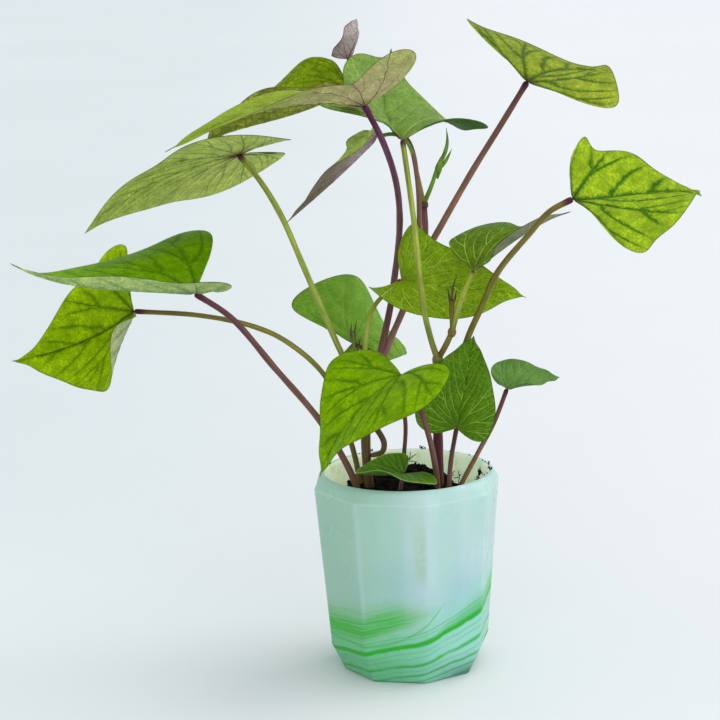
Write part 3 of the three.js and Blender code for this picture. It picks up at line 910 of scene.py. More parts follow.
@dataclass
class Blade:
    """A heart-shaped leaf blade, bent and folded as it hangs on its petiole.

    Pairs hold the left half's value and then the right half's, lengths are in millimetres and
    angles in degrees. pose is heading, rise and lean; bend is arch, nod, sweep and twist.
    """

    name: str
    at: Point
    length: float
    widths: tuple[float, float]
    pose: tuple[float, float, float]
    bend: tuple[float, float, float, float]
    folds: tuple[float, float]
    curls: tuple[float, float]
    lobes: float
    taper: float
    shoulders: tuple[float, float]
    finish: BladeFinish
    wave: float = 0.6
    waves: float = 7.0
    thickness: float = 0.34
    sinus: float = 168.0
    uneven: float = 0.018

    def axes(self) -> np.ndarray:
        """Directions of the blade: forward, to its left, and out of its upper side.

        Forward follows heading and rise; the other two are turned about it by the lean.

        Returns:
            Three unit rows.
        """
        az, el, lean = np.radians(self.pose)
        forward = np.array([np.cos(el) * np.cos(az), np.cos(el) * np.sin(az), np.sin(el)])
        level = np.array([-np.sin(az), np.cos(az), 0.0])
        lift = np.cross(forward, level)
        left = np.cos(lean) * level + np.sin(lean) * lift
        return np.stack([forward, left, np.cos(lean) * lift - np.sin(lean) * level])

    def margin(self, angle: np.ndarray, half: Half) -> np.ndarray:
        """Outline of one half of the flat blade.

        With u = sin^2(angle/2) the width is as u^taper sqrt(1-u), scaled to its largest value,
        and the length is 1-u, less the lobe, which is as u^3 sqrt(1-u). A bell round 106
        degrees swells both by the shoulder's share, and a ripple round the margin makes them
        uneven.

        Args:
            angle: 0 at the tip to the sinus angle, in radians.
            half: which half.

        Returns:
            Distance along the midrib and out from it.
        """
        pick = half.value
        u = np.sin(angle / 2) ** 2
        widest = self.taper / (self.taper + 0.5)
        to_width = 1 / (widest**self.taper * np.sqrt(1 - widest))
        to_lobe = 1 / ((6 / 7) ** 3 * np.sqrt(1 / 7))
        swell = 1 + self.shoulders[pick] * np.exp(-(((angle - 1.85) / 0.28) ** 2))
        swell = swell * (1 + self.uneven * ripple(self.length + pick, 5 * angle) * np.sin(angle))
        along = self.length * (1 - u - self.lobes * to_lobe * u**3 * np.sqrt(1 - u))
        return np.stack([along, self.widths[pick] * to_width * u**self.taper * np.sqrt(1 - u)]) * swell

    def grid(self) -> BladeGrid:
        """Spreads spokes over the margin's angle and rings from the junction to the margin.

        The main veins run from the junction at equal steps of angle, 0.5 to 0.8 radians, and
        the side veins leave them as the leaf's skin draws them.

        Returns:
            The grid with its vein coordinates.
        """
        half, rings = (130, 44) if self.length > 45 else (72, 28)
        angle = np.radians(self.sinus) * np.linspace(-1, 1, 2 * half + 1)[:, None]
        side = np.where(angle <= 0, 1.0, -1.0)
        left, right = (self.margin(np.abs(angle), each) for each in Half)
        along, across = np.where(side > 0, left, right)
        share = np.concatenate([np.linspace(0, 1, rings)[:-1] * 0.988, [0.988, 1.0]])[None, :]
        x, y = along * share, across * share
        run = np.hypot(x, y)
        spread = 1 + 0.16 * share
        step = np.clip(1.1 * np.arctan2(0.75 * max(self.widths), 0.55 * self.length), 0.5, 0.8)
        rib = np.arctan2(across, along) * spread / step
        reach = run * spread / step
        out = (rib - np.floor(rib)) * reach
        spacing = self.finish.spacing(self.length)
        order = (run - SIDE_LEAN * out - SIDE_BOW * out**2) / spacing + np.where(side > 0, LEFT_SHIFT, 0)
        to_main = np.abs(rib - np.round(rib)) * reach
        to_side = np.abs(order - np.round(order)) * spacing * SIDE_WEIGHT
        rim = (1 - share) * np.hypot(along, across)
        return BladeGrid(angle, side, share, x, y, run, rib, reach, rim, to_main, to_side)

    def bent(self, along: np.ndarray, across: np.ndarray, side: np.ndarray) -> np.ndarray:
        """Places flat points of the blade where the bent blade holds them.

        The midrib's pitch is -(arch s + nod s^3) and its yaw sweep s at the share s of the
        length, summed in 24 steps. Each cross-section is turned about the midrib by twist s
        and drawn as an arc that starts at the fold's angle and gains the curl's over the width.

        Args:
            along: distance along the midrib.
            across: distance out from it, not negative.
            side: 1 on the left half, -1 on the right.

        Returns:
            The points in the part's frame.
        """
        arch, nod, sweep, twist = np.radians(self.bend)
        s = (along / self.length)[..., None] * np.linspace(0, 1, 25)
        dip = -(arch * s + nod * np.maximum(0, s) ** 3)
        turn = sweep * s
        pitch, yaw = (dip[..., 1:] + dip[..., :-1]) / 2, (turn[..., 1:] + turn[..., :-1]) / 2
        ways = (np.cos(pitch) * np.cos(yaw), np.cos(pitch) * np.sin(yaw), np.sin(pitch))
        spine = np.stack([way.sum(-1) * along / 24 for way in ways], -1)
        dip, turn = dip[..., -1], turn[..., -1]
        tangent = np.stack([np.cos(dip) * np.cos(turn), np.cos(dip) * np.sin(turn), np.sin(dip)], -1)
        sideways = np.stack([-np.sin(turn), np.cos(turn), 0 * turn], -1)
        above = np.cross(tangent, sideways)
        spin = (twist * np.clip(along / self.length, -1, 1))[..., None]
        out = np.cos(spin) * sideways + np.sin(spin) * above
        up = np.cos(spin) * above - np.sin(spin) * sideways
        folds, curls = np.radians(self.folds), np.radians([c or 0.01 for c in self.curls])
        fold = np.where(side > 0, *folds)
        curl = np.where(side > 0, *(curls / self.widths))
        offset = (np.sin(fold + curl * across) - np.sin(fold)) / curl
        height = -(np.cos(fold + curl * across) - np.cos(fold)) / curl
        held = spine + (side * offset)[..., None] * out + height[..., None] * up
        return np.asarray(self.at) + held @ self.axes()

    def sheet(self, grid: BladeGrid) -> tuple[np.ndarray, np.ndarray]:
        """The blade's middle sheet, puffed between the veins and waved near its margin.

        The puff is up to 0.42 mm by a rounded step of the distance to the veins, and the wave is
        sin(waves x angle) times the fourth power of the way out.

        Args:
            grid: the blade's grid.

        Returns:
            The points of the sheet and its unit normals, out of the upper side.
        """
        share = grid.share
        sheet = self.bent(grid.x, grid.y, grid.side * np.ones_like(grid.x))
        normal = np.cross(np.gradient(sheet, axis=0), np.gradient(sheet, axis=1))
        normal = unit(np.where((normal.sum((0, 1)) @ self.axes()[2]) < 0, -normal, normal))
        normal[:, 0] = unit(normal[:, 1:3].mean(axis=(0, 1)))
        puff = np.minimum(smooth(grid.to_main, 0, 3.0), smooth(grid.to_side, 0, 2.6))
        puff = puff * (1 - smooth(share, 0.75, 1.0)) * smooth(grid.run, 0, 8)
        wobble = np.sin(self.waves * grid.angle + self.length) * share**4
        wobble = wobble * smooth(np.abs(grid.angle), 0.1, 0.9)
        return sheet + normal * (0.42 * puff * self.relief() + self.wave * wobble)[..., None], normal

    def relief(self) -> float:
        """Share of the full relief that a blade of this length has."""
        return min(1.0, self.length / 60)

    def build(self) -> Form:
        """The blade as one thin closed shell.

        The two skins stand off the middle sheet by half the thickness and meet in the outline.
        A rib is a bell across its vein; the lower skin stands out by it, up to 0.72 mm at the
        junction, and the upper one sinks by 0.35 of it.

        Returns:
            The closed form with its vein coordinates.
        """
        grid = self.grid()
        share, run = grid.share, grid.run
        sheet, normal = self.sheet(grid)
        inside = (share < 1) & (np.abs(grid.angle) < np.radians(self.sinus) - 1e-6)
        thick = self.thickness / 2 * inside
        ridge = (0.12 + 0.6 * np.exp(-run / 9)) * np.exp(-((grid.to_main / 0.55) ** 2)) * smooth(run, 0, 3)
        ridge = ridge + 0.1 * np.exp(-((grid.to_side / 0.5) ** 2)) * (1 - smooth(share, 0.75, 1.0))
        ridge = ridge * inside
        upper = sheet + normal * (thick - 0.35 * ridge)[..., None]
        lower = sheet - normal * (thick + ridge * self.relief())[..., None]
        count = run.size
        here = np.arange(count).reshape(run.shape)
        here[:, 0] = 0
        below = np.where(inside & (share > 0), here + count, here)
        quads, tips = [], []
        for skin, turn in ((here, 1), (below, -1)):
            quad = np.stack([skin[:-1, 1:-1], skin[:-1, 2:], skin[1:, 2:], skin[1:, 1:-1]], -1)
            quads.append(quad.reshape(-1, 4)[:, ::turn])
            tips.append(np.stack([skin[:-1, 0], skin[:-1, 1], skin[1:, 1]], -1)[:, ::turn])
        faces = quads + tips
        used, corners = np.unique(np.concatenate([face.ravel() for face in faces]), return_inverse=True)
        parts = np.split(corners, np.cumsum([face.size for face in faces])[:-1])
        faces = [part.reshape(-1, face.shape[1]) for part, face in zip(parts, faces)]

        def both(value: np.ndarray) -> np.ndarray:
            """The value on the upper skin's points and then the lower's, for the points in use."""
            return np.concatenate([np.broadcast_to(value, run.shape).ravel()] * 2)[used]

        values = {"flat": np.stack([both(grid.x), both(grid.y * grid.side), 0 * both(grid.x)], -1)}
        values |= {key: both(getattr(grid, key)) for key in ("rib", "reach", "run", "rim")}
        values["under"] = np.repeat([0.0, 1.0], count)[used]
        points = np.vstack([upper.reshape(-1, 3), lower.reshape(-1, 3)])[used]
        corner = points[faces[0]]
        looks = np.cross(corner[:, 2] - corner[:, 0], corner[:, 3] - corner[:, 1])
        if (looks * normal[:-1, 1:-1].reshape(-1, 3)).sum() < 0:
            faces = [face[:, ::-1] for face in faces]
        return Form(points, faces, values)

    def place(self) -> None:
        """Builds the blade, dresses it and lets it stand for its CAD node."""
        node = f"leaf_{self.name}"
        slot = "young_leaf" if self.name == "young_purple" else "leaf"
        self.build().piece(f"{node}_blade", self.finish.material(f"{node}_skin", self.length), slot, node)


LEAVES = [
    Blade(
        "upper_left", at=(-71, 11, 233.5), length=78, widths=(26, 35.5), pose=(188, -11, 39),
        bend=(16, 22, -9, 19), folds=(-20, 19), curls=(3, -9), lobes=0.4, taper=1.3, shoulders=(0.4, 0.3),
        finish=BladeFinish(
            (78, 118, 14), (226, 242, 122), (70, 104, 24), (108, 108, 66), main=1.0, second=0.7, net=0.1,
            halo=0.3, width=0.9, pairs=4.6, near=(112, 62, 66), near_reach=12, glow=0.25, mottle=0.3,
        ),
    ),
    Blade(
        "arch_front", at=(-15, -19.5, 257), length=90.5, widths=(39.5, 25), pose=(197, 12, 11),
        bend=(45, -8, -18, -55), folds=(24, 3), curls=(23, 9), lobes=0.2, taper=1.9, shoulders=(-0.5, -0.1),
        finish=BladeFinish(
            (158, 181, 57), (222, 208, 158), (122, 137, 52), (104, 60, 74), main=0.95, second=0.45, net=0.16,
            width=0.75, near=(86, 44, 62), near_reach=8, far=(192, 216, 98), rim=(112, 78, 58), mottle=0.2,
        ),
    ),
    Blade(
        "arch_rear", at=(-22, 46, 257), length=69.5, widths=(26, 29.5), pose=(188, -30, -39),
        bend=(-53, 54, -9, 62), folds=(47, 10), curls=(23, -13), lobes=0.1, taper=1.05,
        shoulders=(-0.2, 0.2), wave=1.3, waves=9,
        finish=BladeFinish(
            # the lower colour is partly the leaf's own green and partly painted light, made paler since that
            # side lies in shadow
            (138, 170, 2), (188, 202, 84), (84, 104, 2), (96, 84, 60), second=0.55, net=0.45,
            rim=(104, 66, 36), blotch=0.8,
        ),
    ),
    Blade(
        "young_purple", at=(-22, 52, 270), length=19.5, widths=(5.5, 12), pose=(11, 58, -87),
        bend=(6, -55, -31, 19), folds=(32, 12), curls=(64, -85), lobes=0.25, taper=1.0,
        shoulders=(-0.2, -0.2),
        finish=BladeFinish(
            (182, 166, 160), (212, 198, 198), (112, 72, 80), (104, 60, 74), main=0.9, second=0.75, net=0.4,
            rim=(78, 46, 44), near_share=0.6, glow=0.15, width=0.4, mottle=0.1,
        ),
    ),
    Blade(
        "folded", at=(-9.5, 15, 239), length=56, widths=(26, 16.5), pose=(203, -43, 4),
        bend=(-10, 6, -11, 8), folds=(49, 30), curls=(-57, -27), lobes=0.05, taper=1.9, shoulders=(0, -0.3),
        finish=BladeFinish(
            # painted light: the upper colour is made paler than the leaf's own, since that side lies in
            # shade
            (212, 240, 118), (212, 190, 196), (112, 132, 58), (130, 86, 108), net=0.25, far=(142, 132, 112),
            rim=(96, 74, 56), mottle=0.2,
        ),
    ),
    Blade(
        "top", at=(1.5, 11, 238), length=68.5, widths=(45, 48.5), pose=(115, 12, 12),
        bend=(-37, -27, -32, 60), folds=(42, 40), curls=(-92, -37), lobes=0, taper=1.4,
        shoulders=(-0.3, -0.1),
        finish=BladeFinish(
            (125, 162, 66), (70, 118, 34), (196, 216, 128), (96, 132, 60), main=1.0, second=0.45, net=0.16,
            width=0.6, near=(104, 84, 52), mottle=0.3,
        ),
    ),
    Blade(
        "top_right", at=(59, 44, 258.5), length=54.5, widths=(44, 44.5), pose=(-63, 25, -40),
        bend=(19, -20, 37, 45), folds=(17, 17), curls=(-17, -20), lobes=0, taper=1.55,
        shoulders=(-0.05, -0.05),
        finish=BladeFinish(
            (150, 172, 66), (214, 230, 86), (88, 116, 48), (120, 145, 75), second=0.55, net=0.12, halo=0.85,
            width=0.6, pairs=3.6, near=(104, 72, 66), near_reach=8, rim=(132, 112, 44), glow=0.35,
        ),
    ),
    Blade(
        "right", at=(73, -29, 216), length=67, widths=(43.5, 29), pose=(-39, 4, -42), bend=(-22, 45, -6, 35),
        folds=(18, 33), curls=(-57, 23), lobes=0, taper=1.4, shoulders=(-0.1, -0.2),
        finish=BladeFinish(
            (150, 186, 44), (203, 233, 58), (52, 108, 26), (72, 133, 43), second=0.5, net=0.12, halo=0.95,
            width=0.7, pairs=3.4, near=(96, 66, 44), rim=(112, 122, 30), glow=0.4,
        ),
    ),
    Blade(
        "mid_right", at=(30.5, -19, 184), length=51.5, widths=(26, 13), pose=(21, 31, 45),
        bend=(-26, 52, -12, -55), folds=(-11, 80), curls=(-15, -42), lobes=0.05, taper=1.9,
        shoulders=(0.35, -0.15),
        finish=BladeFinish(
            (92, 130, 0), (150, 158, 132), (200, 224, 96), (120, 128, 96), main=1.0, second=0.85, net=0.14,
            width=0.6, near=(92, 62, 40), rim=(80, 74, 24), mottle=0.5,
        ),
    ),
    Blade(
        "centre", at=(-0.5, 8, 176), length=60, widths=(26, 27), pose=(-21, -10, 39), bend=(10, 43, 38, 69),
        folds=(21, 8), curls=(27, 49), lobes=0.2, taper=1.8, shoulders=(-0.1, -0.1),
        finish=BladeFinish(
            (142, 184, 2), (134, 162, 64), (226, 248, 104), (110, 130, 50), main=1.0, second=0.8, net=0.22,
            width=0.6, near=(108, 70, 32), near_reach=3, glow=0.35, mottle=0.6,
        ),
    ),
    Blade(
        "rear_left", at=(-23, 34.5, 142), length=53.5, widths=(34, 14), pose=(23, 11, 54),
        bend=(98, -14, -6, -47), folds=(-1, -34), curls=(54, -32), lobes=0.4, taper=1.4, shoulders=(0, 0),
        finish=BladeFinish(
            (136, 184, 62), (90, 140, 48), (92, 146, 46), (84, 120, 50), main=0.55, second=0.35, net=0.12,
            near=(84, 56, 48), mottle=0.2,
        ),
    ),
    Blade(
        "front_left", at=(-2, -36, 142.5), length=59, widths=(35.5, 32), pose=(215, -20, -16),
        bend=(48, 8, 1, -3), folds=(38, -16), curls=(-30, 24), lobes=0.2, taper=1.4, shoulders=(0.2, 0.1),
        finish=BladeFinish(
            (146, 194, 1), (140, 172, 60), (86, 140, 2), (90, 120, 40), second=0.4, net=0.14, halo=0.6,
            width=0.6, pairs=3.2, near=(74, 88, 20), near_reach=3, rim=(96, 122, 20), glow=0.35,
        ),
    ),
    Blade(
        "front_right", at=(21.5, -30, 116.5), length=44, widths=(20, 16), pose=(68, 55, 5),
        bend=(-8, 12, 0, -4), folds=(19, 9), curls=(18, -35), lobes=0.2, taper=1.2, shoulders=(0, 0),
        finish=BladeFinish(
            (80, 128, 0), (120, 150, 50), (176, 214, 88), (96, 120, 50), main=1.0, second=0.75, net=0.14,
            width=0.5, near=(84, 48, 36), near_reach=3, near_share=0.3, rim=(50, 84, 10), mottle=0.4,
        ),
    ),
    Blade(
        "small_right", at=(46, 8, 125), length=25.5, widths=(16, 13.5), pose=(19, 10, 11),
        bend=(8, -6, -6, 13), folds=(9, 22), curls=(31, 12), lobes=0.2, taper=1.2, shoulders=(0, 0),
        finish=BladeFinish(
            (116, 163, 76), (104, 142, 70), (162, 196, 116), (90, 120, 60), main=0.8, second=0.5, net=0.14,
            near=(70, 60, 44), near_reach=2, rim=(66, 102, 44), mottle=0.2,
        ),
    ),
    Blade(
        "mouth", at=(-1.5, -21.5, 94.5), length=27.5, widths=(16.5, 12), pose=(222, 5, -14),
        bend=(-12, 6, -12, 18), folds=(32, 13), curls=(-52, 31), lobes=0.4, taper=1, shoulders=(0, 0),
        finish=BladeFinish(
            (101, 150, 22), (96, 130, 56), (54, 92, 10), (80, 110, 50), main=0.9, second=0.6, net=0.25,
            halo=0.6, width=0.5, near=(60, 80, 22), near_reach=2, rim=(150, 186, 100), glow=0.15, mottle=0.5,
        ),
    ),
    Blade(
        "left_upper", at=(-90, -28.5, 179), length=81.5, widths=(21.5, 57), pose=(192, 6, 6),
        bend=(2, -32, -6, 30), folds=(16, 45), curls=(8, -41), lobes=0.25, taper=1.9,
        shoulders=(-0.25, -0.1),
        finish=BladeFinish(
            (118, 168, 1), (196, 222, 148), (71, 118, 2), (118, 143, 76), second=0.4, net=0.25, halo=0.45,
            width=0.6, pairs=4.2, near=(92, 60, 56), near_reach=4, rim=(60, 88, 14),
        ),
    ),
    Blade(
        "left_lower", at=(-119.5, 4, 165.5), length=62.5, widths=(39, 34.5), pose=(154, -39, -56),
        bend=(-57, 17, -5, -62), folds=(27, 47), curls=(11, -56), lobes=0.3, taper=1.6,
        shoulders=(0.2, -0.2),
        finish=BladeFinish(
            (170, 208, 4), (214, 222, 186), (76, 128, 12), (140, 150, 108), second=0.35, net=0.18, halo=0.55,
            width=0.6, pairs=3.8, near=(90, 96, 24), near_reach=4, rim=(92, 120, 14), glow=0.35,
        ),
    ),
]


# Stems


class Tint(Enum):
    """The stem colours that the plant has, from foot to end."""

    PURPLE_BROWN = StemFinish((102, 68, 55), (116, 82, 70), (92, 52, 58))
    DEEP_PURPLE = StemFinish((108, 74, 68), (112, 76, 76), (92, 46, 80), (84, 32, 66), 0.1)
    TRUNK = StemFinish((80, 46, 40), (104, 82, 50), (100, 94, 46), tip_share=0.02)
    TRUNK_RED = StemFinish((64, 30, 30), (96, 46, 54), (112, 92, 50), tip_share=0.02)
    OLIVE = StemFinish((106, 86, 48), (124, 120, 47), (114, 98, 46))
    OLIVE_PALE = StemFinish((116, 118, 44), (150, 164, 66), (142, 152, 54))
    GREEN = StemFinish((120, 120, 52), (126, 148, 50), (96, 130, 34), (82, 112, 30))
    BROWN = StemFinish((118, 86, 58), (136, 100, 80), (104, 64, 58))
    DARK = StemFinish((96, 62, 58), (110, 76, 68), (74, 44, 40))
    PINK = StemFinish((128, 98, 84), (140, 102, 96), (124, 82, 84))
    BUD = StemFinish((96, 132, 34), (108, 148, 44), (72, 110, 26), (64, 92, 24))
    WITHERED = StemFinish((126, 140, 60), (88, 78, 44), (52, 42, 26), (40, 30, 20))


@dataclass
class Stem:
    """A round stem along a route; one that bears a leaf runs into the blade's junction."""

    radius: float
    route: list[Point]
    tint: Tint
    leaf: str | None = None
    swell: float = 1.1
    thin: float = 0.9
    sides: int = 14
    lumps: float = 0.04

    def build(self) -> Form:
        """The stem as a closed tube.

        Its radius falls straight from 1.04 of the given one at the foot to the thin share at the
        end, is uneven by the lumps, and swells by a bell towards the leaf that it bears.

        Returns:
            The tube, with the tone of each point.
        """
        route = np.asarray(self.route, float)
        if self.leaf:
            junction = np.asarray(next(blade.at for blade in LEAVES if blade.name == self.leaf), float)
            route = np.vstack([route, junction - unit(junction - route[-1]) * 0.3])
        path, run = curve_through(route, 1.1)
        share = run / run[-1]
        radius = self.radius * (1.04 + (self.thin - 1.04) * share)
        radius = radius * (1 + self.lumps * ripple(self.radius + run[-1], run / 6))
        if self.leaf:
            radius = radius * (1 + (self.swell - 1) * np.exp(-(((run[-1] - run) / 3.2) ** 2)))
        radius[-1] *= 0.75
        form = tube(path, radius, self.sides)
        form.values["tone"] = self.tint.value.tones(np.append(np.repeat(share, self.sides), [0.0, 1.0]))
        return form


@dataclass
class Knot:
    """A swollen joint where stems part."""

    at: Point
    size: Point
    colour: Colour

    def build(self) -> Form:
        """A lumpy ball: latitude and longitude on an ellipsoid, its radius uneven by a ripple.

        Returns:
            The ball, with its grain and one tone.
        """
        v = np.linspace(0, np.pi, 16)[1:-1, None]
        u = np.linspace(0, 2 * np.pi, 24, endpoint=False)[None, :]
        ball = np.stack([np.sin(v) * np.cos(u), np.sin(v) * np.sin(u), np.cos(v) + 0 * u], -1)
        uneven = 1 + 0.07 * ripple(self.at[2], *(ball[..., k] * 2.4 for k in range(3)))
        poles = np.array([[0, 0, self.size[2]], [0, 0, -self.size[2]]])
        form = stacked(ball * uneven[..., None] * self.size + self.at, poles + self.at)
        form.values["grain"] = form.points - self.at
        form.values["tone"] = np.tile(linear(self.colour), (len(form.points), 1))
        return form


@dataclass
class Scale:
    """A small folded leaflet or bract: a flat spindle along a route."""

    route: list[Point]
    width: float
    tint: Tint = Tint.BUD
    flatten: float = 0.35
    sides: int = 12

    def build(self) -> Form:
        """A tube whose half width is as sin(pi share^0.7)^0.9, so that it is widest near its foot.

        Returns:
            The leaflet, with the tone of each point.
        """
        path, run = curve_through(self.route, 0.5)
        share = run / run[-1]
        radius = self.width / 2 * np.maximum(0.12, np.sin(np.pi * np.clip(share, 0, 1) ** 0.7)) ** 0.9
        form = tube(path, radius, self.sides, self.flatten, (2, 0.1))
        form.values["tone"] = self.tint.value.tones(np.append(np.repeat(share, self.sides), [0.0, 1.0]))
        return form


@dataclass
class Vine:
    """One climbing shoot: its trunk, branches, joints and buds, as one piece."""

    name: str
    stems: list[Stem]
    knots: list[Knot]
    scales: list[Scale]

    def place(self, bark: bpy.types.Material) -> None:
        """Builds every stem, joint and leaflet and lets them stand for the vine's CAD node.

        Args:
            bark: the skin that all stems share.
        """
        forms = [part.build() for part in (*self.stems, *self.knots, *self.scales)]
        Form.joined(forms).piece(f"{self.name}_shoots", bark, "stem", self.name)


VINES = [
    Vine(
        "vine_left",
        stems=[
            Stem(
                2.2, [(-17, -9, 70), (-17, -10, 85), (-18, -9, 100), (-18, -8, 111), (-17, -6, 122)],
                Tint.TRUNK, sides=20, lumps=0.07,
            ),
            Stem(
                1.3, [(-17, -9, 116), (-13, -10, 112), (-10, -11, 106), (-11, -11, 102), (-16, -9, 100)],
                Tint.TRUNK, lumps=0.1,
            ),
            Stem(
                1.35, [(-17, -6, 121), (-21.5, -7, 133), (-28, -7, 147), (-36.5, -6, 168), (-44.5, -4, 188),
                (-52.5, -2, 207.5), (-61.5, 5.5, 222)], Tint.OLIVE_PALE, leaf="upper_left",
            ),
            Stem(
                1.1, [(-17, -6, 121), (-18, -5, 137), (-17, -2, 150), (-15.5, 1, 159), (-12, 4, 166)],
                Tint.OLIVE_PALE, leaf="centre",
            ),
            Stem(
                1.5, [(-16, -6, 121), (-13, -2, 135), (-9.5, 4, 148), (-5.5, 13, 163), (-3, 20, 176.5),
                (-1, 21.5, 190), (-0.5, 12, 207), (-3, -5, 226), (-8, -14, 242)], Tint.DEEP_PURPLE,
                leaf="arch_front", swell=1.15,
            ),
            Stem(
                1.5, [(-16, -6, 121), (-11, 0, 137), (-6, 6, 149), (1, 14, 163), (7, 24, 178), (11, 30, 191),
                (11, 32, 206)], Tint.PINK, lumps=0.06,
            ),
            Stem(
                1.45, [(1, 14, 163), (8, 25, 179), (18, 32, 195), (33, 38, 219), (47, 42, 240)], Tint.BROWN,
                leaf="top_right", swell=1.15,
            ),
            Stem(
                1.15, [(7, 24, 178), (8.5, 24, 197), (8, 24, 218.5), (5, 28, 234), (-3, 39, 241),
                (-12, 46, 250.5)], Tint.BROWN, leaf="arch_rear",
            ),
            Stem(
                0.8, [(-12, 46, 250.5), (-15.5, 50.5, 259.5), (-18.5, 52.5, 266)], Tint.BROWN,
                leaf="young_purple",
            ),
            Stem(
                0.9, [(11, 32, 206), (8, 29, 221), (5, 24, 233), (1, 19, 238.5), (-4, 16, 240)], Tint.GREEN,
                leaf="folded",
            ),
            Stem(1.0, [(11, 32, 206), (14.5, 32, 214), (17, 32, 221), (19, 32, 226)], Tint.BUD),
            Stem(
                0.7, [(-18, -6, 122), (-21, -4, 137), (-22, -4, 147), (-22.5, -4, 156)], Tint.GREEN,
                thin=0.6,
            ),
        ],
        knots=[
            Knot((-17, -6.5, 120.5), (2.6, 2.5, 3), (98, 84, 46)),
            Knot((1, 14, 163), (1.8, 1.8, 2.2), (124, 90, 82)),
            Knot((7, 24, 178), (1.8, 1.8, 2.2), (124, 90, 82)),
            Knot((11, 32, 205.5), (2, 1.9, 2.1), (96, 62, 58)),
            Knot((-12, 46, 250.5), (1.5, 1.5, 1.5), (100, 62, 66)),
        ],
        scales=[
            Scale(
                [(18, 32, 222), (19.5, 31.6, 226), (21.2, 32, 230), (22, 32, 234), (21.7, 32, 240)], 1.7,
                flatten=0.6,
            ),
            Scale([(18, 32, 221), (21, 32, 225), (24, 32, 230.5)], 1.5, flatten=0.6),
            Scale([(18, 31.4, 219), (18.4, 30.8, 224), (20.6, 31, 229.4)], 2.4, flatten=0.5),
            Scale([(17.4, 32.4, 217), (17.4, 33, 222), (19, 33, 226.6)], 2.2, flatten=0.5),
            Scale([(-22, -4, 145), (-22, -4, 153), (-20.8, -4, 160.5)], 1.1, Tint.WITHERED),
            Scale([(-22.4, -4, 148), (-23.4, -4.4, 155), (-23, -4, 160)], 1.0, Tint.WITHERED),
            Scale([(-21.6, -3.6, 144), (-20, -3.6, 149), (-19.2, -4, 153)], 0.9, Tint.WITHERED),
        ],
    ),
    Vine(
        "vine_right",
        stems=[
            Stem(
                2.25, [(15, -10, 70), (14, -10, 85), (14, -9, 102), (14, -9, 118), (14, -9, 131),
                (14.5, -10, 144)], Tint.TRUNK_RED, sides=20, lumps=0.06,
            ),
            Stem(
                1.3, [(14.5, -10, 143), (12, -13, 151.5), (9, -18, 165.5), (7, -18, 184), (5.5, -9, 203.5),
                (3.5, 2, 221.5)], Tint.OLIVE_PALE, leaf="top",
            ),
            Stem(
                1.3, [(14.5, -10, 143), (18, -12, 149.5), (21, -14, 157), (21, -15, 164), (21, -16, 171)],
                Tint.OLIVE,
            ),
            Stem(
                1.1, [(21, -14, 156), (22.5, -18, 163), (25.5, -20, 173)], Tint.OLIVE_PALE, leaf="mid_right",
            ),
            Stem(
                1.4, [(14, -9, 113), (19, -5, 127.5), (24.5, -2, 140), (29, -2, 152.5), (33.5, -8, 164),
                (41, -17, 182.5), (54, -25, 200), (63, -28, 210.5)], Tint.OLIVE, leaf="right", swell=1.15,
            ),
        ],
        knots=[
            Knot((14.5, -10, 143), (2.5, 2.4, 2.9), (112, 112, 48)),
            Knot((20.8, -14, 156), (1.9, 1.8, 2.3), (112, 100, 54)),
            Knot((14.4, -9, 113.5), (2.5, 2.5, 3), (88, 56, 50)),
        ],
        scales=[
            Scale([(21, -15.5, 167), (21.5, -16, 176), (23.5, -16, 182)], 1.1, Tint.WITHERED),
            Scale([(21, -15.6, 166), (20, -16.2, 172), (19.4, -16, 176)], 1.3, Tint.WITHERED),
            Scale([(21.4, -15.4, 168), (22.6, -15.6, 172), (23, -15.8, 175)], 0.9, Tint.WITHERED),
        ],
    ),
]

PETIOLES = {
    "front_left": Stem(
        1.3, [(13, -16, 71.5), (13, -18, 88.5), (11, -28.5, 105.5), (8, -39, 120), (4.5, -40, 131),
        (0.5, -38, 138)], Tint.PURPLE_BROWN,
    ),
    "front_right": Stem(1.1, [(17, -20, 72), (18, -21, 87), (19, -24, 100)], Tint.DARK),
    "small_right": Stem(1.1, [(18.5, -2.5, 69), (24, 0, 82.5), (32, 3, 96.5), (40, 6, 110.5)], Tint.BROWN),
    "mouth": Stem(0.95, [(-5, -17, 75), (-3.5, -18, 85.5), (-2.5, -20, 91)], Tint.PINK),
    "left_upper": Stem(
        1.45, [(-18, -20, 73), (-22, -20, 87), (-27, -21, 100), (-38, -23, 120), (-57, -26, 145),
        (-75, -28, 168)], Tint.PURPLE_BROWN,
    ),
    "left_lower": Stem(
        1.2, [(-20, -6, 72), (-21, -6, 87), (-25, -6, 107), (-35, -4, 135), (-52, -1, 151), (-67, 1, 158),
        (-90, 3, 163)], Tint.OLIVE,
    ),
    "rear_left": Stem(
        1.0, [(-3, 6, 68), (-3, 6, 82), (-1, 8, 95), (0, 12, 111), (-4, 20, 127), (-11, 28, 137)], Tint.DARK,
    ),
}


# Pot and soil


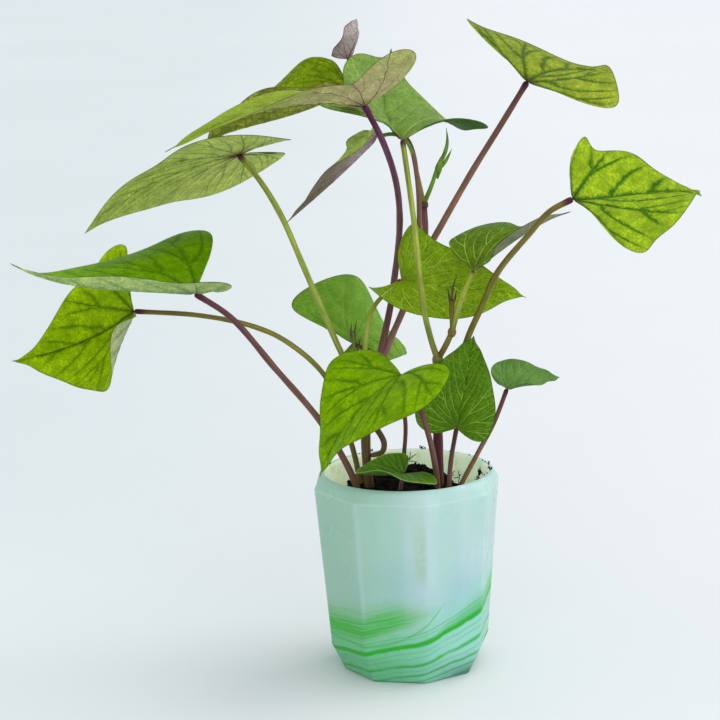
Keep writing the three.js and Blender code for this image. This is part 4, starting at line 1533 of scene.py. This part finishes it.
@dataclass
class Pot:
    """The eight-sided pot: straight facets below a round lip, and a round well inside."""

    sides: int = 8
    turn: float = 11.0
    columns: int = 240
    soften: float = 90.0
    foot_recess: float = 1.2
    finish: GlassFinish = GlassFinish()

    def profile(self) -> np.ndarray:
        """Rings of the pot from the middle of the base, up the outside, and down the inside.

        Returns:
            Corner radius, height and facet weight of each ring.
        """
        recess = self.foot_recess
        base = [(0.01, recess, 0.5), (12, recess, 1), (25, recess, 1), (27.6, recess * 0.8, 1)]
        foot = [(28.6, 0.25, 1), (29.6, 0.0, 1), (30.4, 0.1, 1), (30.9, 0.6, 1), (31.4, 1.4, 1)]
        foot += [(30.9 + 5.6 * k, 0.6 + 11.4 * k, 1) for k in (0.2, 0.4, 0.6, 0.8, 0.94)]
        rise = (0.03, 0.1, 0.2, 0.3, 0.4, 0.5, 0.6, 0.7, 0.8, 0.9, 0.96)
        facets = [(36.5, 11.9, 1), (36.75, 12.7, 1)]
        facets += [(36.5 + 6.1 * k, 12 + 73 * k, 1 - 0.15 * k**6) for k in rise]
        shoulder = [(42.6, 84.6, 0.85), (42.5, 84.9, 0.8), (42.2, 85.2, 0.74), (41.6, 86.2, 0.55)]
        shoulder += [(41.0, 87.3, 0.36), (40.3, 88.4, 0.2), (39.6, 89.5, 0.08), (38.9, 90.3, 0.02)]
        lip = [(38.2, 90.75, 0), (37.5, 90.9, 0), (36.8, 90.7, 0), (36.3, 90.2, 0), (36.0, 89.4, 0)]
        wall = [(35.85, 87.5, 0)]
        wall += [(35.7 - 6.7 * k, 86 - 77 * k, 0) for k in (0, 0.06, 0.12, 0.2, 0.4, 0.6, 0.8, 0.97)]
        well = [(27.5, 8.6, 0), (15, 8.2, 0), (0.01, 8, 0)]
        return np.array(base + foot + facets + shoulder + lip + wall + well, float)

    def build(self) -> Form:
        """The pot as one closed surface.

        A ring's radius is its corner radius times the share of an octagon with softened
        corners: cos(half side) over the high-power mean of the facets' cosines, weighted by
        how flat that height is.

        Returns:
            The closed form.
        """
        corner, height, flat = self.profile().T[..., None]
        angle = np.linspace(0, 2 * np.pi, self.columns, endpoint=False)[None, :]
        middles = np.radians(self.turn + 360 / self.sides * (np.arange(self.sides) + 0.5))
        towards = np.clip(np.cos(angle[..., None] - middles), 0, 1)
        support = (towards**self.soften).sum(-1) ** (1 / self.soften)
        return turned(corner * (1 - flat + flat * np.cos(np.pi / self.sides) / support), height, angle)

    def place(self) -> None:
        """Builds the pot and lets it stand for its CAD node."""
        self.build().piece("pot_glass", self.finish.material(), "glaze", "pot")


@dataclass
class Soil:
    """The soil plug in the pot, with loose crumbs and rootlets on it and on the rim.

    A tuft of rootlets is its bearing from the back in degrees, its height, its number of
    rootlets and their length.
    """

    moat: float = 77.0
    rise: float = 9.0
    middle: tuple[float, float] = (-3.0, 0.0)
    reach: tuple[float, float] = (25.0, 31.0)
    floor: float = 9.4
    edge: float = 34.4
    mouth: float = 90.9
    columns: int = 220
    crumbs: int = 260
    tufts: tuple[tuple[float, float, int, float], ...] = (
        (68, 83.5, 7, 4.2), (74, 86, 5, 3.4), (97, 91, 6, 3.4), (83, 91, 5, 3.0), (2, 85.5, 7, 4.6),
        (-9, 84, 5, 5.0), (11, 91, 4, 2.4), (19, 91, 4, 2.6), (26, 91, 3, 2.4), (36, 79, 6, 4.2),
        (45, 80, 4, 3.4), (62, 79, 4, 3.0), (-24, 91, 3, 2.0),
    )
    finish: SoilFinish = SoilFinish()

    def height(self, x: np.ndarray, y: np.ndarray) -> np.ndarray:
        """Height of the soil: the moat plus a smooth plug, with lumps of three sizes on it.

        Args:
            x: place across.
            y: place in depth.

        Returns:
            The height at each place.
        """
        away = np.hypot((x - self.middle[0]) / self.reach[0], (y - self.middle[1]) / self.reach[1])
        plug = self.rise * (1 - smooth(away, 0.86, 1.12))
        lumps = 0.55 * ripple(3.1, x / 2.6, y / 2.6) + 0.4 * ripple(8.7, x / 1.1, y / 1.2)
        lumps = lumps + 0.25 * ripple(5.3, x / 0.5, y / 0.55)
        return self.moat + plug + lumps * (1 - smooth(np.hypot(x, y), 32.5, 34.3))

    def build(self) -> Form:
        """The soil as one closed surface: a lumpy disc over a plain tapered side.

        Returns:
            The closed form.
        """
        angle = np.linspace(0, 2 * np.pi, self.columns, endpoint=False)[None, :]
        r = np.concatenate([[0.01], np.linspace(0.8, self.edge, 62)])[::-1, None]
        top = self.height(r * np.sin(angle), -r * np.cos(angle))
        side = [[0.01, self.floor], [14, self.floor], [28.4, self.floor], [31.5, 45], [33.9, 70]]
        side_r, side_z = np.array(side).T[..., None]
        return turned(np.vstack([side_r, r]), np.vstack([side_z + 0 * angle, top]), angle)

    def crumb_forms(self) -> Form:
        """Loose crumbs: one uneven lump, repeated at seeded places with seeded sizes.

        Returns:
            All the crumbs as one form.
        """
        random = np.random.default_rng(41)
        away = 31 * np.sqrt(random.random(self.crumbs))
        turn = random.random(self.crumbs) * 2 * np.pi
        x, y = away * np.cos(turn), away * np.sin(turn)
        size = 0.35 + 1.1 * random.random(self.crumbs) ** 3
        rim = random.random(self.crumbs) < 0.06
        x, y = np.where(rim, 37 * np.cos(turn), x), np.where(rim, 37 * np.sin(turn), y)
        z = np.where(rim, self.mouth, self.height(x, y)) + size * 0.3
        size = np.where(rim, 0.35, size)
        u = np.linspace(0, 2 * np.pi, 6, endpoint=False)
        layers = ((0.8, -0.5), (1.0, 0.1), (0.6, 0.7))
        rings = np.stack([np.stack([np.cos(u) * w, np.sin(u) * w, 0 * u + h], -1) for w, h in layers])
        lump = stacked(rings, np.array([[0, 0, -0.9], [0, 0, 1.0]]))
        uneven = 1 + 0.3 * (random.random((self.crumbs, len(lump.points), 3)) - 0.5)
        points = lump.points * uneven * size[:, None, None] + np.stack([x, y, z], -1)[:, None]
        shift = (np.arange(self.crumbs) * len(lump.points))[:, None, None]
        faces = [(face + shift).reshape(-1, face.shape[1]) for face in lump.faces]
        return Form(points.reshape(-1, 3), faces)

    def rootlets(self) -> Form:
        """Dry rootlets in tufts on the pot's inner wall and mouth.

        A rootlet leaves the middle of its tuft in a seeded direction, turns a seeded amount,
        and keeps to the wall's radius or, on the mouth, rises in a low arch.

        Returns:
            All the rootlets as one form of thin tubes.
        """
        random = np.random.default_rng(17)
        share = np.linspace(0, 1, 8)
        forms = []
        for bearing, height, count, length in self.tufts:
            for _ in range(count):
                way = random.random() * 2 * np.pi + (random.random() - 0.5) * 3.0 * share
                step = np.stack([np.cos(way), np.sin(way)]) * length / 8 * (0.5 + random.random())
                along, rise = np.cumsum(step, axis=1)
                radius = 37.5 + rise * 0.35
                on_mouth = height > 90
                if on_mouth:
                    rise = np.abs(rise) * 0.15 + 1.1 * random.random() * np.sin(np.pi * share) + 0.1
                wall = 35.35 - 0.087 * (86 - height - rise) - 0.8 * random.random() * share
                radius = radius if on_mouth else wall
                angle = np.radians(bearing) + along / 36
                path = np.stack([radius * np.sin(angle), radius * np.cos(angle), height + rise], -1)
                forms.append(tube(path, 0.15 + 0.07 * (1 - share), 5))
        return Form.joined(forms)

    def place(self) -> None:
        """Builds the soil, its crumbs and rootlets; the soil stands for its CAD node."""
        skin = self.finish.material()
        self.build().piece("soil_bed", skin, "soil", "soil")
        self.crumb_forms().piece("soil_crumbs", skin, "soil")
        self.rootlets().piece("soil_rootlets", skin, "soil")


# Studio


@dataclass
class Studio:
    """Pale floor, soft lights and the camera at the photograph's angle."""

    camera_at: Point = (-19.7, -1142.0, 390.6)
    pitch: float = 12.3
    roll: float = 1.47
    lens: float = 131.5
    sensor: float = 36.0
    half_floor: float = 9000.0
    room: Colour = (232, 238, 244)
    room_strength: float = 0.98
    finish: FloorFinish = FloorFinish()

    def floor(self) -> None:
        """Plain pale floor, as a grid of two rows that runs well past the view."""
        x, y = np.meshgrid([-self.half_floor, self.half_floor], [-self.half_floor, self.half_floor])
        grid = np.stack([x, y, 0 * x], -1).reshape(-1, 3)
        mesh = bpy.data.meshes.new("pale_floor")
        mesh.from_pydata((grid * MM).tolist(), [], [(0, 1, 3, 2)])
        mesh.materials.append(self.finish.material())
        floor = bpy.data.objects.new("pale_floor", mesh)
        bpy.context.scene.collection.objects.link(floor)

    def light(self, name: str, towards: Point, spread: float, power: float, colour: Colour) -> None:
        """Adds a broad soft light from one direction.

        Args:
            name: name of the light.
            towards: the direction in which the light lies, as a vector of any length.
            spread: its width in degrees, which softens the shadows.
            power: its strength.
            colour: its screen colour.
        """
        lamp = bpy.data.lights.new(name, "SUN")
        lamp.energy, lamp.angle, lamp.color = power, np.radians(spread), linear(colour)[:3]
        made = bpy.data.objects.new(name, lamp)
        made.rotation_euler = (-Vector(towards)).to_track_quat("-Z", "Y").to_euler()
        bpy.context.scene.collection.objects.link(made)

    def camera(self) -> None:
        """Camera whose axes are a level view pitched down and then rolled."""
        pitch, roll = np.radians([self.pitch, self.roll])
        right, up = np.array([1.0, 0, 0]), np.array([0, np.sin(pitch), np.cos(pitch)])
        ahead = np.array([0, np.cos(pitch), -np.sin(pitch)])
        across, upright = np.cos(roll) * right - np.sin(roll) * up, np.sin(roll) * right + np.cos(roll) * up
        lens = bpy.data.cameras.new("camera")
        lens.lens, lens.sensor_width, lens.clip_end = self.lens, self.sensor, 20.0
        made = bpy.data.objects.new("camera", lens)
        matrix = Matrix(np.stack([across, upright, -ahead], 1).tolist()).to_4x4()
        matrix.translation = Vector(self.camera_at) * MM
        made.matrix_world = matrix
        bpy.context.scene.collection.objects.link(made)
        bpy.context.scene.camera = made

    def place(self) -> None:
        """Sets the floor, the pale surroundings, the lights and the camera."""
        scene = bpy.context.scene
        scene.view_settings.view_transform = "Standard"
        scene.world = bpy.data.worlds.new("pale_room")
        scene.world.use_nodes = True
        background = scene.world.node_tree.nodes["Background"]
        background.inputs[0].default_value = linear(self.room)
        background.inputs[1].default_value = self.room_strength
        self.floor()
        self.light("key", towards=(1.0, 0.3, 1.0), spread=60, power=1.5, colour=(255, 253, 249))
        self.light("fill", towards=(0.25, -1.0, 0.6), spread=70, power=0.75, colour=(252, 252, 255))
        self.camera()


def main() -> None:
    """Builds the studio, pot, soil, stems and leaves in order."""
    logging.basicConfig(level=logging.INFO, format="%(message)s")
    Studio().place()
    Pot().place()
    Soil().place()
    bark = BarkFinish().material()
    for vine in VINES:
        vine.place(bark)
    for leaf, stem in PETIOLES.items():
        stem.leaf = leaf
        stem.build().piece(f"petiole_{leaf}_stalk", bark, "stem", f"petiole_{leaf}")
    for blade in LEAVES:
        blade.place()
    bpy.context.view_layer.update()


if __name__ == "__main__":
    main()
